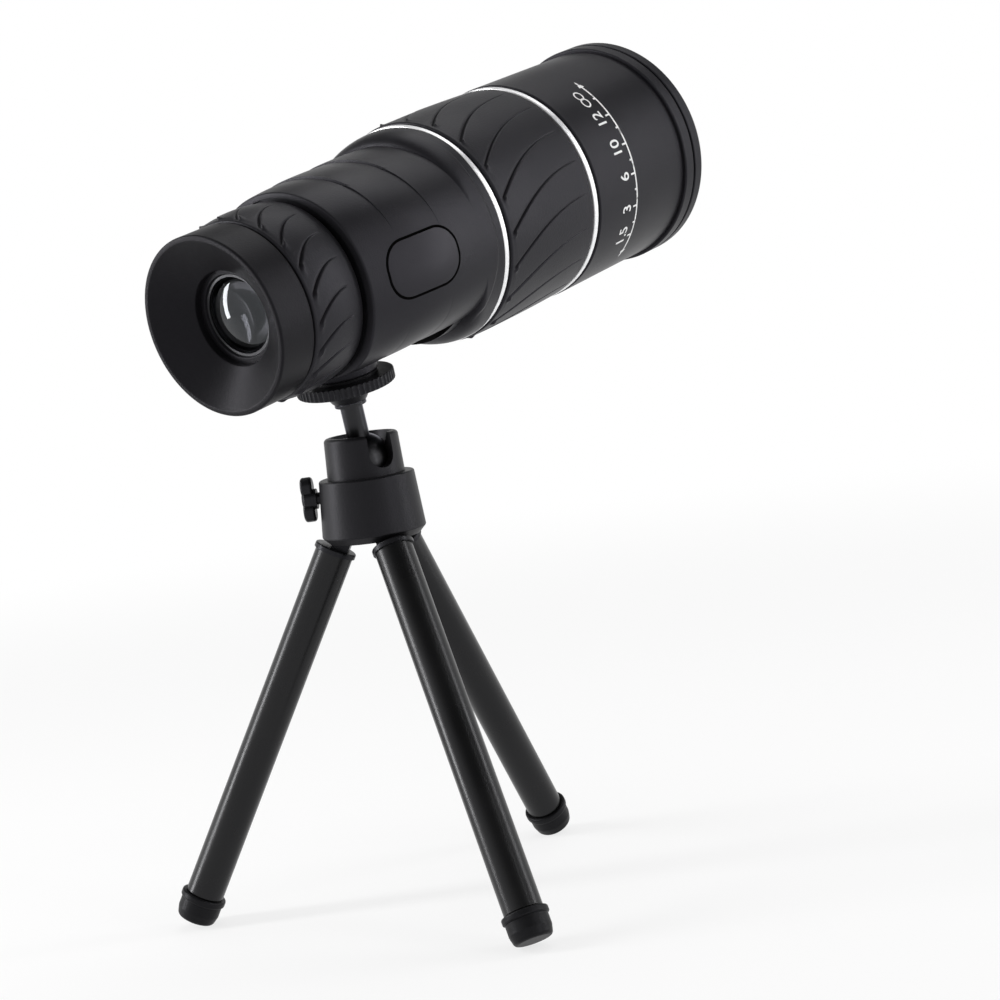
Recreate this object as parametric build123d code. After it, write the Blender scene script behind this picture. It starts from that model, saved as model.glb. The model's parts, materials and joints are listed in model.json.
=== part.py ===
from build123d import *
from math import asin, atan2, cos, degrees, radians, sin, sqrt, tan
import os

# A small straight spotting scope on a table tripod: a pocket monocular body with
# a focus ring that slides the objective, a dioptre ring that slides the eyepiece,
# a ball head with a drop slot, and three telescopic legs.  Millimetres.
# Row frame: the table is z = 0, the tripod column stands on the Z axis, and the
# objective looks towards +Y.  At rest the stem leans, as a loaded ball head does.

# ---------------------------------------------------------------- clearances
RUN = 0.05            # radial gap of a shaft or sleeve that turns or slides
SEAT = 0.02           # radial gap of a piece that is fixed in another
GAP = 0.3             # gap between moving neighbours that never touch

# ---------------------------------------------------------------- tripod head
COLLAR_BOTTOM = 91.5
COLLAR_HEIGHT = 15.5
COLLAR_TOP_R = 11.7
COLLAR_WIDE_R = 12.76
COLLAR_CHAMFER = 1.7
COLLAR_EDGE = 0.5
YOKE_R = 10.6         # leg yoke inside the collar
YOKE_HEIGHT = 7.4
LEG_PIVOT_R = 7.1     # distance of each leg pivot from the column axis
LEG_PIVOT_RISE = 3.8  # height of the pivots above the collar's bottom
LEG_PIN_R = 1.0
LEG_PIN_LENGTH = 9.2

BALL_R = 7.0
BALL_RISE = 3.4       # height of the ball centre above the collar's top
SOCKET_SHANK_R = 8.6
SOCKET_BASE_R = 9.49
SOCKET_TOP_R = 9.05
SOCKET_RISE = 6.6     # height of the socket's top above the ball centre
SOCKET_EDGE = 1.0
SOCKET_LIP = 3.5      # height above the ball centre where the lip ends
SOCKET_MOUTH_R = 7.6
DROP_SLOT_WIDTH = 6.6
DROP_SLOT_AZIMUTH = 337.5
DROP_SLOT_RISE = 1.8  # centre of its round bottom above the ball centre

SEAT_CONTACT = 45.0   # angle below the horizontal where the seat holds the ball
SEAT_LIP = 1.0        # height of the seat's rim above that contact
SEAT_BAND = 0.9       # straight band round the seat's rim
SEAT_FOOT_R = 4.2

THUMB_AZIMUTH = 210.0
THUMB_DROP = 4.2      # height of the thumb screw's axis under the collar's top
THUMB_SHAFT_R = 1.5
THUMB_HUB_R = 2.5
THUMB_LENGTH = 3.6
THUMB_LOBE_R = 2.5
THUMB_LOBE_OFFSET = 3.0
THUMB_LOBE_EDGE = 0.7
THUMB_HUB_EDGE = 0.7
THUMB_TIP_LENGTH = 1.2  # how far the shaft and its tip meet inside the socket's wall

# ---------------------------------------------------------------- stem and plate
LEAN = 11.45          # lean of the stem from vertical at rest
LEAN_AZIMUTH = 282.76
AIM_AZIMUTH = 83.37   # compass direction of the objective
STEM_R = 2.77
FLANGE_RISE = 14.6    # heights along the stem, above the ball centre
FLANGE_THICK = 0.8
FLANGE_R = 3.9
STUD_R = 3.175        # 1/4 inch tripod thread
STUD_ROOT_R = 2.0
STUD_ROOT = 4.5
STUD_REACH = 5.0      # length of thread inside the scope
STUD_CHAMFER = 0.7
DISC_R = 12.1
DISC_THICK = 2.7
DISC_RISE = 19.0
DISC_NECK_R = 4.3
DISC_SHOULDER_R = 6.4
DISC_EDGE = 0.4
KNURL_COUNT = 54
KNURL_DEPTH = 0.35
PAD_THICK = 0.6
PAD_R = 8.2

# ---------------------------------------------------------------- legs
LEG_SPLAY = 29.07
LEG_NAMES = {"left": 210.0, "right": 330.0, "front": 90.0}
TONGUE_WIDTH = 5.0
TONGUE_R = 3.2        # round end about the pivot, and inner half thickness
TONGUE_OUTER = 1.1    # outer half thickness: this face stops on the collar
RIM_DROP = 5.7        # from the pivot to the top of the leg's rim
RIM_R = 5.2
RIM_THICK = 1.3
RIM_EDGE = 0.4
TUBE_R = 4.72
TUBE_WALL = 0.57
SPIGOT_LENGTH = 8.0
SLIDER_R = 3.7
SLIDER_WALL = 0.6
SLIDER_TRAVEL = 60.0
FERRULE_LENGTH = 4.0
BUSH_LENGTH = 6.0
FOOT_R = 5.65
FOOT_LENGTH = 6.9
FOOT_EDGE = 2.0
FOOT_TOP_EDGE = 0.6
FOOT_WALL = 2.0       # rubber under the slider's end

# ---------------------------------------------------------------- scope, stations
# Stations run along the optical axis from the tripod stud, forwards positive.
BODY_REAR = -9.4
BODY_LENGTH = 45.3
TRIM_WIDTH = 1.6
GRIP_GAP = 0.6        # from the rear trim ring to the focus ring
GRIP_LENGTH = 34.2
FRONT_GAP = 0.4       # from the focus ring to the front trim ring
FRONT_LENGTH = 46.7   # front housing, from its trim ring to the rim
BEZEL_LENGTH = 8.0
RING_GAP = 0.6        # from the dioptre ring to the body
RING_LENGTH = 16.6    # dioptre ring and the gap behind it
CUP_LENGTH = 10.8

BODY_FRONT = BODY_REAR + BODY_LENGTH
GRIP_REAR = BODY_FRONT + TRIM_WIDTH + GRIP_GAP
GRIP_FRONT = GRIP_REAR + GRIP_LENGTH
FRONT_TRIM = GRIP_FRONT + FRONT_GAP
TUBE_REAR = FRONT_TRIM + TRIM_WIDTH
TUBE_FRONT = TUBE_REAR + FRONT_LENGTH
BEZEL_REAR = TUBE_FRONT - BEZEL_LENGTH
RING_FRONT = BODY_REAR - RING_GAP
CUP_END = RING_FRONT - RING_LENGTH
CUP_RIM = CUP_END - CUP_LENGTH

# ---------------------------------------------------------------- focus drive
BARREL_R = 24.8
BARREL_WALL = 1.2
BARREL_LAP = 3.7      # length of the barrel inside the front housing's rear collar
DRUM_WALL = 1.35
GRIP_WALL = 2.18      # rubber on the drum
GRIP_CROWN = 0.15     # how far the rubber's middle stands out, and its ends in
FOCUS_TURN = 108.0
FOCUS_TRAVEL = 8.0
FOCUS_PIN_SETBACK = 11.9
PIN_R = 1.5
PIN_ANGLE = 200.0     # measured from the top, towards the left
PIN_LAND = 4.0        # length of cell behind its drive pin
SLOT_CUT = 4.0        # reach of a slot's cutter to each side of its wall

BARREL_FRONT = TUBE_REAR + BARREL_LAP
FOCUS_PIN_STATION = GRIP_REAR + FOCUS_PIN_SETBACK
CELL_REAR = FOCUS_PIN_STATION - PIN_LAND
GRIP_BORE_R = BARREL_R + RUN + DRUM_WALL + SEAT
GRIP_R = GRIP_BORE_R + GRIP_WALL

# ---------------------------------------------------------------- scope, radii
CUP_R = 21.5
CUP_WALL = 1.1
CUP_EDGE = 0.4
SHOULDER_RISE = 3.3   # body over the barrel's radius
CHEEK_DROP = 0.8      # cheeks under the shoulder's radius
LIP_DROP = 3.7        # body's rear lip under the shoulder's radius
NECK_DROP = 0.2       # top of the first ridge under the lip's radius
RIDGE_STEP = 0.45
RIDGE_STATIONS = (-1.0, 11.8, 21.4)
RIDGE_GROOVE = 0.8
RIDGE_GROOVE_WIDTH = 1.2
UNDER_STEP = 0.12     # the same steps on the underside
UNDER_DROP = 0.41     # the boss's face under the first ridge's radius
NECK_CROWN_R = 55.0   # the recesses' radius across the body
SHOULDER_RUN = 12.0   # length over which the shoulder swells
TRIM_RISE = 3.1       # rear trim ring over the barrel's radius
TUBE_RISE = 3.8       # front housing over the barrel's radius
TUBE_STEP = 1.0       # step behind the front housing, for the trim ring
TUBE_STEP_LENGTH = 0.6
TUBE_TAPER = 0.2
TUBE_EDGE = 0.4
FRONT_WALL = 1.65     # wall of the front housing
BEZEL_RISE = 0.8      # rim over the front housing
BEZEL_EDGE = 0.9
BEZEL_GROOVE = 0.55     # depth of the groove between the two beads
BEZEL_GROOVE_WIDTH = 0.7
BEZEL_LIP = 2.0         # length of the inner lip at the rim
BEZEL_LIP_DEPTH = 1.35  # how far that lip stands inside the housing's bore
TUBE_END_WALL = 0.8     # wall of the front tube inside the bezel
SHELL_WALL = 2.9      # body's wall at its rear lip
BODY_WALL = 2.0       # rear end wall of the body
FLANGE_SETBACK = 10.4 # prism cage's flange, behind the body's front
FLANGE_WIDTH = 2.5
BOSS_R = 8.5
BOSS_SINK = 1.0       # how far the boss runs into the body's bore
BUSH_R = 4.5
BUSH_DEPTH = 6.2
BUSH_CAP = 0.6        # closed end of the bush
BUSH_WALL = 2.0       # wall of the pocket inside the body round the bush
BADGE_STATION = 7.6
BADGE_LENGTH = 20.6
BADGE_HEIGHT = 15.2
BADGE_ROUND = 0.46    # corner radius over the badge's height
BADGE_BORDER = 0.7
BADGE_DEPTH = 0.5
BADGE_SINK = 0.15     # plate under the body's outline
BADGE_BED = 0.4       # glue and plate under that depth

SHOULDER_R = BARREL_R + SHOULDER_RISE
CHEEK_R = SHOULDER_R - CHEEK_DROP
LIP_R = SHOULDER_R - LIP_DROP
NECK_TOP_R = LIP_R - NECK_DROP
BODY_BORE_R = LIP_R - SHELL_WALL
BOSS_DROP = NECK_TOP_R - UNDER_DROP
FLANGE_SEAT = BODY_FRONT - FLANGE_SETBACK
TRIM_R = BARREL_R + TRIM_RISE
TUBE_OUTER_R = BARREL_R + TUBE_RISE
TUBE_BORE_R = TUBE_OUTER_R - FRONT_WALL
BEZEL_R = TUBE_OUTER_R + BEZEL_RISE
BEZEL_INNER_R = TUBE_BORE_R - BEZEL_LIP_DEPTH

# ---------------------------------------------------------------- objective
TUBE_FLOOR_WALL = 1.5 # front housing's floor ahead of the barrel
CELL_CLEAR = 2.5      # from that floor to the cell's cup at rest
CELL_SHOULDER = 1.5   # length of the cone behind the cup
CUP_GAP = 0.35        # between the cup and the front housing
CELL_WALL = 1.5
LENS_MARGIN = 2.4     # cup's wall round the lenses
CROWN_SETBACK = 11.0  # from the cup's rear to the cemented edge
CROWN_EDGE = 1.8
CROWN_FRONT_RADIUS = 120.0
CEMENT_RADIUS = 90.0
FLINT_EDGE = 4.6
FLINT_REAR_RADIUS = 600.0
CELL_LENGTH = 17.5    # length of the cup
FLOOR_LAP = 0.1       # floor's bore over the barrel's bore

TUBE_FLOOR = BARREL_FRONT + TUBE_FLOOR_WALL
CELL_CUP = TUBE_FLOOR + CELL_CLEAR
CELL_FRONT = CELL_CUP + CELL_LENGTH
CELL_CUP_R = TUBE_BORE_R - CUP_GAP
LENS_R = CELL_CUP_R - LENS_MARGIN
CROWN_STATION = CELL_CUP + CROWN_SETBACK

# ---------------------------------------------------------------- eyepiece drive
SLEEVE_R = 19.0
SLEEVE_WALL = 1.5
SLEEVE_SETBACK = 3.1  # sleeve's end ahead of the eyecup's
RING_WALL = 1.4
RING_EDGE_WALL = 1.23 # rubber at the dioptre ring's ends
RING_CROWN = 0.9      # how far its middle stands out
DIOPTRE_TURN = 120.0
DIOPTRE_TRAVEL = 3.0
DIOPTRE_PIN_SETBACK = 9.6
EYE_BARREL_LENGTH = 20.1
EYE_BARREL_WALL = 2.0
EYE_LENS_R = 9.2
EYE_SEAT_R = 10.8
EYE_SEAT_EDGE = 0.7   # bevel of the seat's rim, inside the cup
EYE_SEAT_GAP = 0.6    # cup's floor round the lens
EYE_SEAT_SETBACK = 3.6
EYE_WALL = 3.0
EYE_REAR = 2.0        # the barrel reaches this far behind the eyecup's end
EYE_LIP = 0.9
EYE_LENS_EDGE = 1.6
FIELD_LENS_R = 13.0
FIELD_LENS_SETBACK = 15.1
FIELD_LENS_EDGE = 1.6
FIELD_LENS_CROWN = 28.0
EYE_LENS_CROWN = 15.5
FLATTER = 3.0         # inner faces of both lenses over their outer ones
RETAINER_WIDTH = 1.8
SPACER_WALL = 1.2

SLEEVE_REAR = CUP_END + SLEEVE_SETBACK
SLEEVE_BORE_R = SLEEVE_R - SLEEVE_WALL
DIOPTRE_PIN_STATION = CUP_END + DIOPTRE_PIN_SETBACK
EYE_BARREL_FRONT = CUP_END + EYE_BARREL_LENGTH
EYE_LENS_REAR = CUP_END - EYE_SEAT_SETBACK
FIELD_LENS_STATION = CUP_END + FIELD_LENS_SETBACK
RING_BORE_R = SLEEVE_R + RUN + RING_WALL + SEAT
RING_EDGE_R = RING_BORE_R + RING_EDGE_WALL
RING_CROWN_R = RING_EDGE_R + RING_CROWN

# ---------------------------------------------------------------- prisms
PRISM_WIDTH = 18.0
PRISM_APERTURE = 14.0
PRISM_AIR = 0.4
PRISM_BAND = 3.0      # glass of the roof prism beyond the aperture
PRISM_LAND = 1.5      # glass ahead of the first prism's face
PRISM_PEAK = 1.0      # how far the roof's ridge rises forwards
PENTA_DEPTH = 1.1     # depth of the half penta prism over its aperture
PENTA_ANGLE = 22.5
PRISM_START = 4.0     # from the cage's rear wall to the first face
CAGE_START = 4.4      # from the body's rear to the cage
CAGE_RIB = 3.0        # cage left whole at each end of its open side
CAGE_HALF_WIDTH = 12.0
CAGE_HALF_HEIGHT = 15.0
CAGE_WALL = 1.5

CAGE_REAR = BODY_REAR + CAGE_START

# ---------------------------------------------------------------- shared places
COLLAR_TOP = COLLAR_BOTTOM + COLLAR_HEIGHT
YOKE_TOP = COLLAR_BOTTOM + YOKE_HEIGHT
LEG_PIVOT_Z = COLLAR_BOTTOM + LEG_PIVOT_RISE
BALL_Z = COLLAR_TOP + BALL_RISE
AXIS_RISE = DISC_RISE + DISC_THICK + PAD_THICK + RUN + BOSS_DROP  # above the ball, along the stem
THUMB_Z = COLLAR_TOP - THUMB_DROP
BALL_CENTRE = Vector(0, 0, BALL_Z)
STEM_AXIS = Vector(
    sin(radians(LEAN)) * cos(radians(LEAN_AZIMUTH)),
    sin(radians(LEAN)) * sin(radians(LEAN_AZIMUTH)),
    cos(radians(LEAN)),
)
AIM_FLAT = Vector(cos(radians(AIM_AZIMUTH)), sin(radians(AIM_AZIMUTH)), 0)
AIM_RISE = -AIM_FLAT.dot(STEM_AXIS) / STEM_AXIS.Z
OPTICAL_AXIS = Vector(AIM_FLAT.X, AIM_FLAT.Y, AIM_RISE).normalized()
HEAD = Plane(origin=BALL_CENTRE, x_dir=OPTICAL_AXIS, z_dir=STEM_AXIS).location
SCOPE = HEAD * Pos(0, 0, AXIS_RISE)


def turned(points, rounds=None, upright=False):
    """A solid turned about X, or about Z if upright, from (station, radius) points.

    rounds maps a point's index to the radius of its rounded corner.
    """
    plane = Plane.XZ
    if upright:
        points = [(r, z) for z, r in points]
    face = plane * make_face(Polyline(*points, close=True))
    for index, radius in (rounds or {}).items():
        spot = plane.from_local_coords(Vector(*points[index]))
        corner = min(face.vertices(), key=lambda v: (Vector(*v) - spot).length)
        face = fillet(corner, radius)
    return revolve(face, Axis.Z if upright else Axis.X)


def tube(start, end, outer, inner, upright=False):
    """A plain ring or tube between two stations."""
    return turned([(start, inner), (start, outer), (end, outer), (end, inner)], upright=upright)


def radial(azimuth, radius=0.0, height=0.0):
    """A place on the tripod whose X points outwards at an azimuth."""
    return Rot(0, 0, azimuth) * Pos(radius, 0, height)


def save(node, shape):
    """Write one node's STEP file."""
    shape.label = node
    export_step(shape, os.path.join("parts", node + ".step"))
    print(node, round(shape.volume, 1))


# ================================================================ tripod head
def collar():
    """Tapered sleeve that joins the ball socket, the thumb screw and the yoke."""
    sleeve = turned(
        [
            (COLLAR_BOTTOM, YOKE_R + SEAT),
            (COLLAR_BOTTOM, COLLAR_WIDE_R - COLLAR_CHAMFER),
            (COLLAR_BOTTOM + COLLAR_CHAMFER, COLLAR_WIDE_R),
            (COLLAR_TOP, COLLAR_TOP_R),
            (COLLAR_TOP, SOCKET_SHANK_R + SEAT),
            (YOKE_TOP, SOCKET_SHANK_R + SEAT),
            (YOKE_TOP, YOKE_R + SEAT),
        ],
        rounds={2: COLLAR_EDGE, 3: COLLAR_EDGE},
        upright=True,
    )
    hole = Cylinder(THUMB_SHAFT_R + RUN, COLLAR_WIDE_R, rotation=(0, 90, 0))
    return sleeve - radial(THUMB_AZIMUTH, COLLAR_WIDE_R, THUMB_Z) * hole


def yoke():
    """Inner hub with three slots in which the legs fold."""
    body = Pos(0, 0, COLLAR_BOTTOM) * Cylinder(
        YOKE_R, YOKE_HEIGHT, align=(Align.CENTER, Align.CENTER, Align.MIN)
    )
    inner_end = LEG_PIVOT_R - TONGUE_R - GAP
    for azimuth in LEG_NAMES.values():
        slot = Box(
            YOKE_R,
            TONGUE_WIDTH + GAP,
            3 * YOKE_HEIGHT,
            align=(Align.MIN, Align.CENTER, Align.CENTER),
        )
        hole = Cylinder(LEG_PIN_R + SEAT, LEG_PIN_LENGTH, rotation=(90, 0, 0))
        body -= radial(azimuth, inner_end, COLLAR_BOTTOM) * slot
        body -= radial(azimuth, LEG_PIVOT_R, LEG_PIVOT_Z) * hole
    return body


def leg_pins():
    """The three steel pins that the legs turn on, pressed in the yoke."""
    pin = Cylinder(LEG_PIN_R, LEG_PIN_LENGTH, rotation=(90, 0, 0))
    places = [radial(azimuth, LEG_PIVOT_R, LEG_PIVOT_Z) for azimuth in LEG_NAMES.values()]
    return Compound(children=[place * pin for place in places])


def ball_socket():
    """Barrel that holds the ball under its lip, with the slot for a 90 degree drop."""
    top = BALL_Z + SOCKET_RISE
    lip_r = sqrt((BALL_R + RUN) ** 2 - SOCKET_LIP**2)
    barrel = turned(
        [
            (YOKE_TOP, BALL_R + RUN),
            (YOKE_TOP, SOCKET_SHANK_R),
            (COLLAR_TOP, SOCKET_SHANK_R),
            (COLLAR_TOP, SOCKET_BASE_R),
            (top, SOCKET_TOP_R),
            (top, SOCKET_MOUTH_R),
            (BALL_Z + SOCKET_LIP, lip_r),
            (BALL_Z + SOCKET_LIP, 0),
            (BALL_Z, 0),
            (BALL_Z, BALL_R + RUN),
        ],
        rounds={4: SOCKET_EDGE},
        upright=True,
    )
    barrel -= Pos(*BALL_CENTRE) * Sphere(BALL_R + RUN)
    half = DROP_SLOT_WIDTH / 2
    reach = SOCKET_BASE_R + GAP
    slot = Box(
        reach,
        DROP_SLOT_WIDTH,
        2 * SOCKET_RISE,
        align=(Align.MIN, Align.CENTER, Align.MIN),
    )
    slot += Cylinder(half, reach, rotation=(0, 90, 0), align=(Align.CENTER, Align.CENTER, Align.MIN))
    barrel -= radial(DROP_SLOT_AZIMUTH, 0, BALL_Z + DROP_SLOT_RISE) * slot
    hole = Cylinder(THUMB_SHAFT_R + GAP, SOCKET_BASE_R, rotation=(0, 90, 0))
    return barrel - radial(THUMB_AZIMUTH, SOCKET_BASE_R, THUMB_Z) * hole


def seat_levels():
    """Heights of the ball seat: its waist, where its cone ends, and its rim."""
    rim = BALL_Z - BALL_R * sin(radians(SEAT_CONTACT)) + SEAT_LIP
    waist = THUMB_Z + THUMB_SHAFT_R / 2 + GAP / 2
    return waist, rim - SEAT_BAND, rim


def ball_seat():
    """Nylon cup under the ball; its cone is wedged up by the thumb screw."""
    waist, cone_top, rim = seat_levels()
    foot = YOKE_TOP + GAP
    seat = turned(
        [
            (foot, 0),
            (foot, SEAT_FOOT_R),
            (waist, SEAT_FOOT_R),
            (cone_top, BALL_R - RUN),
            (rim, BALL_R - RUN),
            (rim, 0),
        ],
        upright=True,
    )
    return seat - Pos(*BALL_CENTRE) * Sphere(BALL_R + RUN)


def thumb_place():
    """The thumb screw's own frame: X runs outwards along the screw."""
    return radial(THUMB_AZIMUTH, 0, THUMB_Z)


def collar_radius(z):
    """The collar's outer radius at a height on its long taper."""
    low = COLLAR_BOTTOM + COLLAR_CHAMFER
    share = (z - low) / (COLLAR_TOP - low)
    return COLLAR_WIDE_R + (COLLAR_TOP_R - COLLAR_WIDE_R) * share


def thumb_screw():
    """Wing screw: a threaded shaft with a hub and two rounded lobes."""
    start = collar_radius(THUMB_Z - THUMB_LOBE_OFFSET - THUMB_LOBE_R) + GAP
    tip = SOCKET_SHANK_R - THUMB_TIP_LENGTH
    end = start + THUMB_LENGTH
    screw = turned(
        [
            (tip, 0),
            (tip, THUMB_SHAFT_R),
            (start, THUMB_SHAFT_R),
            (start, THUMB_HUB_R),
            (end - THUMB_HUB_EDGE, THUMB_HUB_R),
            (end, THUMB_HUB_R - THUMB_HUB_EDGE),
            (end, 0),
        ]
    )
    lobe = Cylinder(THUMB_LOBE_R, THUMB_LENGTH - THUMB_HUB_EDGE, rotation=(0, 90, 0))
    lobe = fillet(lobe.edges().filter_by(GeomType.CIRCLE), THUMB_LOBE_EDGE)
    for side in (-1, 1):
        centre = start + (THUMB_LENGTH + THUMB_HUB_EDGE) / 2
        screw += Pos(centre, 0, side * THUMB_LOBE_OFFSET) * lobe
    return thumb_place() * screw


def thumb_tip():
    """Nylon tip on the thumb screw, coned like the underside of the ball seat."""
    waist, cone_top = seat_levels()[:2]
    slope = (BALL_R - RUN - SEAT_FOOT_R) / (cone_top - waist)
    back = SOCKET_SHANK_R - THUMB_TIP_LENGTH
    front = SEAT_FOOT_R + GAP
    tip = turned(
        [
            (front, 0),
            (front, THUMB_SHAFT_R / 2),
            (front + THUMB_SHAFT_R / 2 * slope, THUMB_SHAFT_R),
            (back, THUMB_SHAFT_R),
            (back, 0),
        ]
    )
    return thumb_place() * tip


# ================================================================ stem and plate
def ball_stem():
    """Ball and stem turned from one bar, with the flange that the disc rests on."""
    top = FLANGE_RISE + FLANGE_THICK
    shape = Sphere(BALL_R)
    shape += turned(
        [
            (0, 0),
            (0, STEM_R),
            (FLANGE_RISE, STEM_R),
            (FLANGE_RISE, FLANGE_R),
            (top, FLANGE_R),
            (top, 0),
        ],
        upright=True,
    )
    root = Cylinder(STUD_ROOT_R + SEAT, STUD_ROOT, align=(Align.CENTER, Align.CENTER, Align.MAX))
    return HEAD * (shape - Pos(0, 0, top) * root)


def mount_stud():
    """The 1/4 inch screw that goes through the disc into the scope."""
    base = FLANGE_RISE + FLANGE_THICK
    top = AXIS_RISE - BOSS_DROP + STUD_REACH
    stud = turned(
        [
            (base - STUD_ROOT, 0),
            (base - STUD_ROOT, STUD_ROOT_R),
            (base, STUD_ROOT_R),
            (base, STUD_R),
            (top - STUD_CHAMFER, STUD_R),
            (top, STUD_R - STUD_CHAMFER),
            (top, 0),
        ],
        upright=True,
    )
    return HEAD * stud


def lock_disc():
    """Knurled lock nut with a wide face that tightens up against the scope."""
    base = FLANGE_RISE + FLANGE_THICK + GAP
    top = DISC_RISE + DISC_THICK
    disc = turned(
        [
            (base, STUD_R + RUN),
            (base, DISC_NECK_R),
            (DISC_RISE, DISC_SHOULDER_R),
            (DISC_RISE, DISC_R),
            (top, DISC_R),
            (top, STUD_R + RUN),
        ],
        rounds={3: DISC_EDGE, 4: DISC_EDGE},
        upright=True,
    )
    notch = Pos(DISC_R + KNURL_DEPTH, 0, DISC_RISE + DISC_THICK / 2) * Cylinder(
        2 * KNURL_DEPTH, 2 * DISC_THICK
    )
    notches = [Rot(0, 0, 360 * n / KNURL_COUNT) * notch for n in range(KNURL_COUNT)]
    return HEAD * (disc - notches)


def friction_pad():
    """Rubber washer on the disc that grips the scope's underside."""
    low = DISC_RISE + DISC_THICK
    return HEAD * tube(low, low + PAD_THICK, PAD_R, STUD_R + GAP, upright=True)


# ================================================================ legs
def leg_reach():
    """Distance from a pivot to the foot's end, so that the foot stands on z = 0."""
    drop = LEG_PIVOT_Z - (FOOT_R - FOOT_EDGE) * sin(radians(LEG_SPLAY)) - FOOT_EDGE
    return drop / cos(radians(LEG_SPLAY)) + FOOT_EDGE


def leg_place(azimuth):
    """A leg's own frame at its pivot: Z runs down the leg, X faces outwards."""
    return radial(azimuth, LEG_PIVOT_R, LEG_PIVOT_Z) * Rot(0, 180 - LEG_SPLAY, 0) * Rot(0, 0, 180)


def leg_plug():
    """Top fitting of a leg: a tongue on the pin, a rim, and a spigot in the tube."""
    tongue = Cylinder(TONGUE_R, TONGUE_WIDTH, rotation=(90, 0, 0))
    tongue += Pos(-TONGUE_R, 0, 0) * Box(
        TONGUE_R + TONGUE_OUTER,
        TONGUE_WIDTH,
        RIM_DROP,
        align=(Align.MIN, Align.CENTER, Align.MIN),
    )
    keep = Pos(TONGUE_OUTER, 0, 0) * Box(
        4 * TONGUE_R, TONGUE_WIDTH, 4 * TONGUE_R, align=(Align.MAX, Align.CENTER, Align.CENTER)
    )
    tongue = (tongue & keep) - Cylinder(LEG_PIN_R + RUN, 2 * TONGUE_WIDTH, rotation=(90, 0, 0))
    spigot_end = RIM_DROP + RIM_THICK + SPIGOT_LENGTH
    tongue += turned(
        [
            (RIM_DROP, 0),
            (RIM_DROP, RIM_R),
            (RIM_DROP + RIM_THICK, RIM_R),
            (RIM_DROP + RIM_THICK, TUBE_R - TUBE_WALL - SEAT),
            (spigot_end, TUBE_R - TUBE_WALL - SEAT),
            (spigot_end, 0),
        ],
        rounds={1: RIM_EDGE},
        upright=True,
    )
    return tongue


def tube_end():
    """Distance from the pivot to the lower end of the outer tube."""
    return leg_reach() - FOOT_LENGTH - GAP


def leg_tube():
    """Outer leg tube."""
    start = RIM_DROP + RIM_THICK
    return tube(start, tube_end(), TUBE_R, TUBE_R - TUBE_WALL, upright=True)


def leg_bush():
    """Nylon bush in the mouth of the outer tube that guides the slider."""
    end = tube_end()
    return tube(end - BUSH_LENGTH, end, TUBE_R - TUBE_WALL - SEAT, SLIDER_R + RUN, upright=True)


def slider_top():
    """Distance from the pivot to the slider's upper end when it is pushed in."""
    return tube_end() - BUSH_LENGTH - FERRULE_LENGTH - SLIDER_TRAVEL


def leg_slider():
    """Inner tube, with a ferrule that stops it in the bush when drawn out."""
    top = slider_top()
    bore = SLIDER_R - SLIDER_WALL
    bottom = leg_reach() - FOOT_WALL
    return turned(
        [
            (top, bore),
            (top, TUBE_R - TUBE_WALL - RUN),
            (top + FERRULE_LENGTH, TUBE_R - TUBE_WALL - RUN),
            (top + FERRULE_LENGTH, SLIDER_R),
            (bottom, SLIDER_R),
            (bottom, bore),
        ],
        upright=True,
    )


def leg_foot():
    """Rubber foot, pushed on the slider's end."""
    end = leg_reach()
    start = end - FOOT_LENGTH
    return turned(
        [
            (start, SLIDER_R + SEAT),
            (start, FOOT_R),
            (end, FOOT_R),
            (end, 0),
            (end - FOOT_WALL, 0),
            (end - FOOT_WALL, SLIDER_R + SEAT),
        ],
        rounds={1: FOOT_TOP_EDGE, 2: FOOT_EDGE},
        upright=True,
    )


# ================================================================ scope housing
def cheek_profile():
    """Outline of the body's round sides, from the rear lip to the trim ring."""
    return [
        (BODY_REAR, LIP_R),
        (BADGE_STATION, CHEEK_R),
        (FLANGE_SEAT, SHOULDER_R),
        (BODY_FRONT, SHOULDER_R),
    ]


def body_blank():
    """The body turned to its full side outline."""
    side = cheek_profile()
    curve = Spline(*side[:3], tangents=[(side[1][0] - side[0][0], side[1][1] - side[0][1]), (1, 0)])
    outline = [
        curve,
        Line(side[2], side[3]),
        Line(side[3], (BODY_FRONT, 0)),
        Line((BODY_FRONT, 0), (BODY_REAR, 0)),
        Line((BODY_REAR, 0), side[0]),
    ]
    face = Plane.XZ * make_face(outline)
    return revolve(face, Axis.X)


def neck_cut(top_r, step):
    """Cutter for one thumb recess: ridges that rise forwards, then the shoulder."""
    first, second, last = RIDGE_STATIONS
    levels = [top_r, top_r + step, top_r + 2 * step]
    half = RIDGE_GROOVE_WIDTH / 2
    start, end = BODY_REAR - SHOULDER_RISE, last + SHOULDER_RUN
    high = 2 * SHOULDER_R
    points = [(start, high), (start, levels[0])]
    for station, low, up in ((first, levels[0], levels[1]), (second, levels[1], levels[2])):
        points += [(station - half, low), (station, low - RIDGE_GROOVE), (station + half, up)]
    points.append((last, levels[2]))
    rise = Spline(
        (last, levels[2]),
        (last + SHOULDER_RUN / 3, (levels[2] + 2 * SHOULDER_R) / 3),
        (end, SHOULDER_R + RUN),
        tangents=[(0.3, 1), (1, 0)],
    )
    outline = [Polyline(*points), rise, Polyline(rise @ 1, (end, high), (start, high))]
    return Plane.XZ * make_face(outline)


def recess(top_r, step):
    """The recess cutter swept across the body on a wide arc."""
    drop = NECK_CROWN_R - top_r
    face = neck_cut(top_r, step)
    crown = Axis((0, 0, -drop), (1, 0, 0))
    return revolve(face, crown, revolution_arc=60).rotate(crown, -30)


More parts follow.
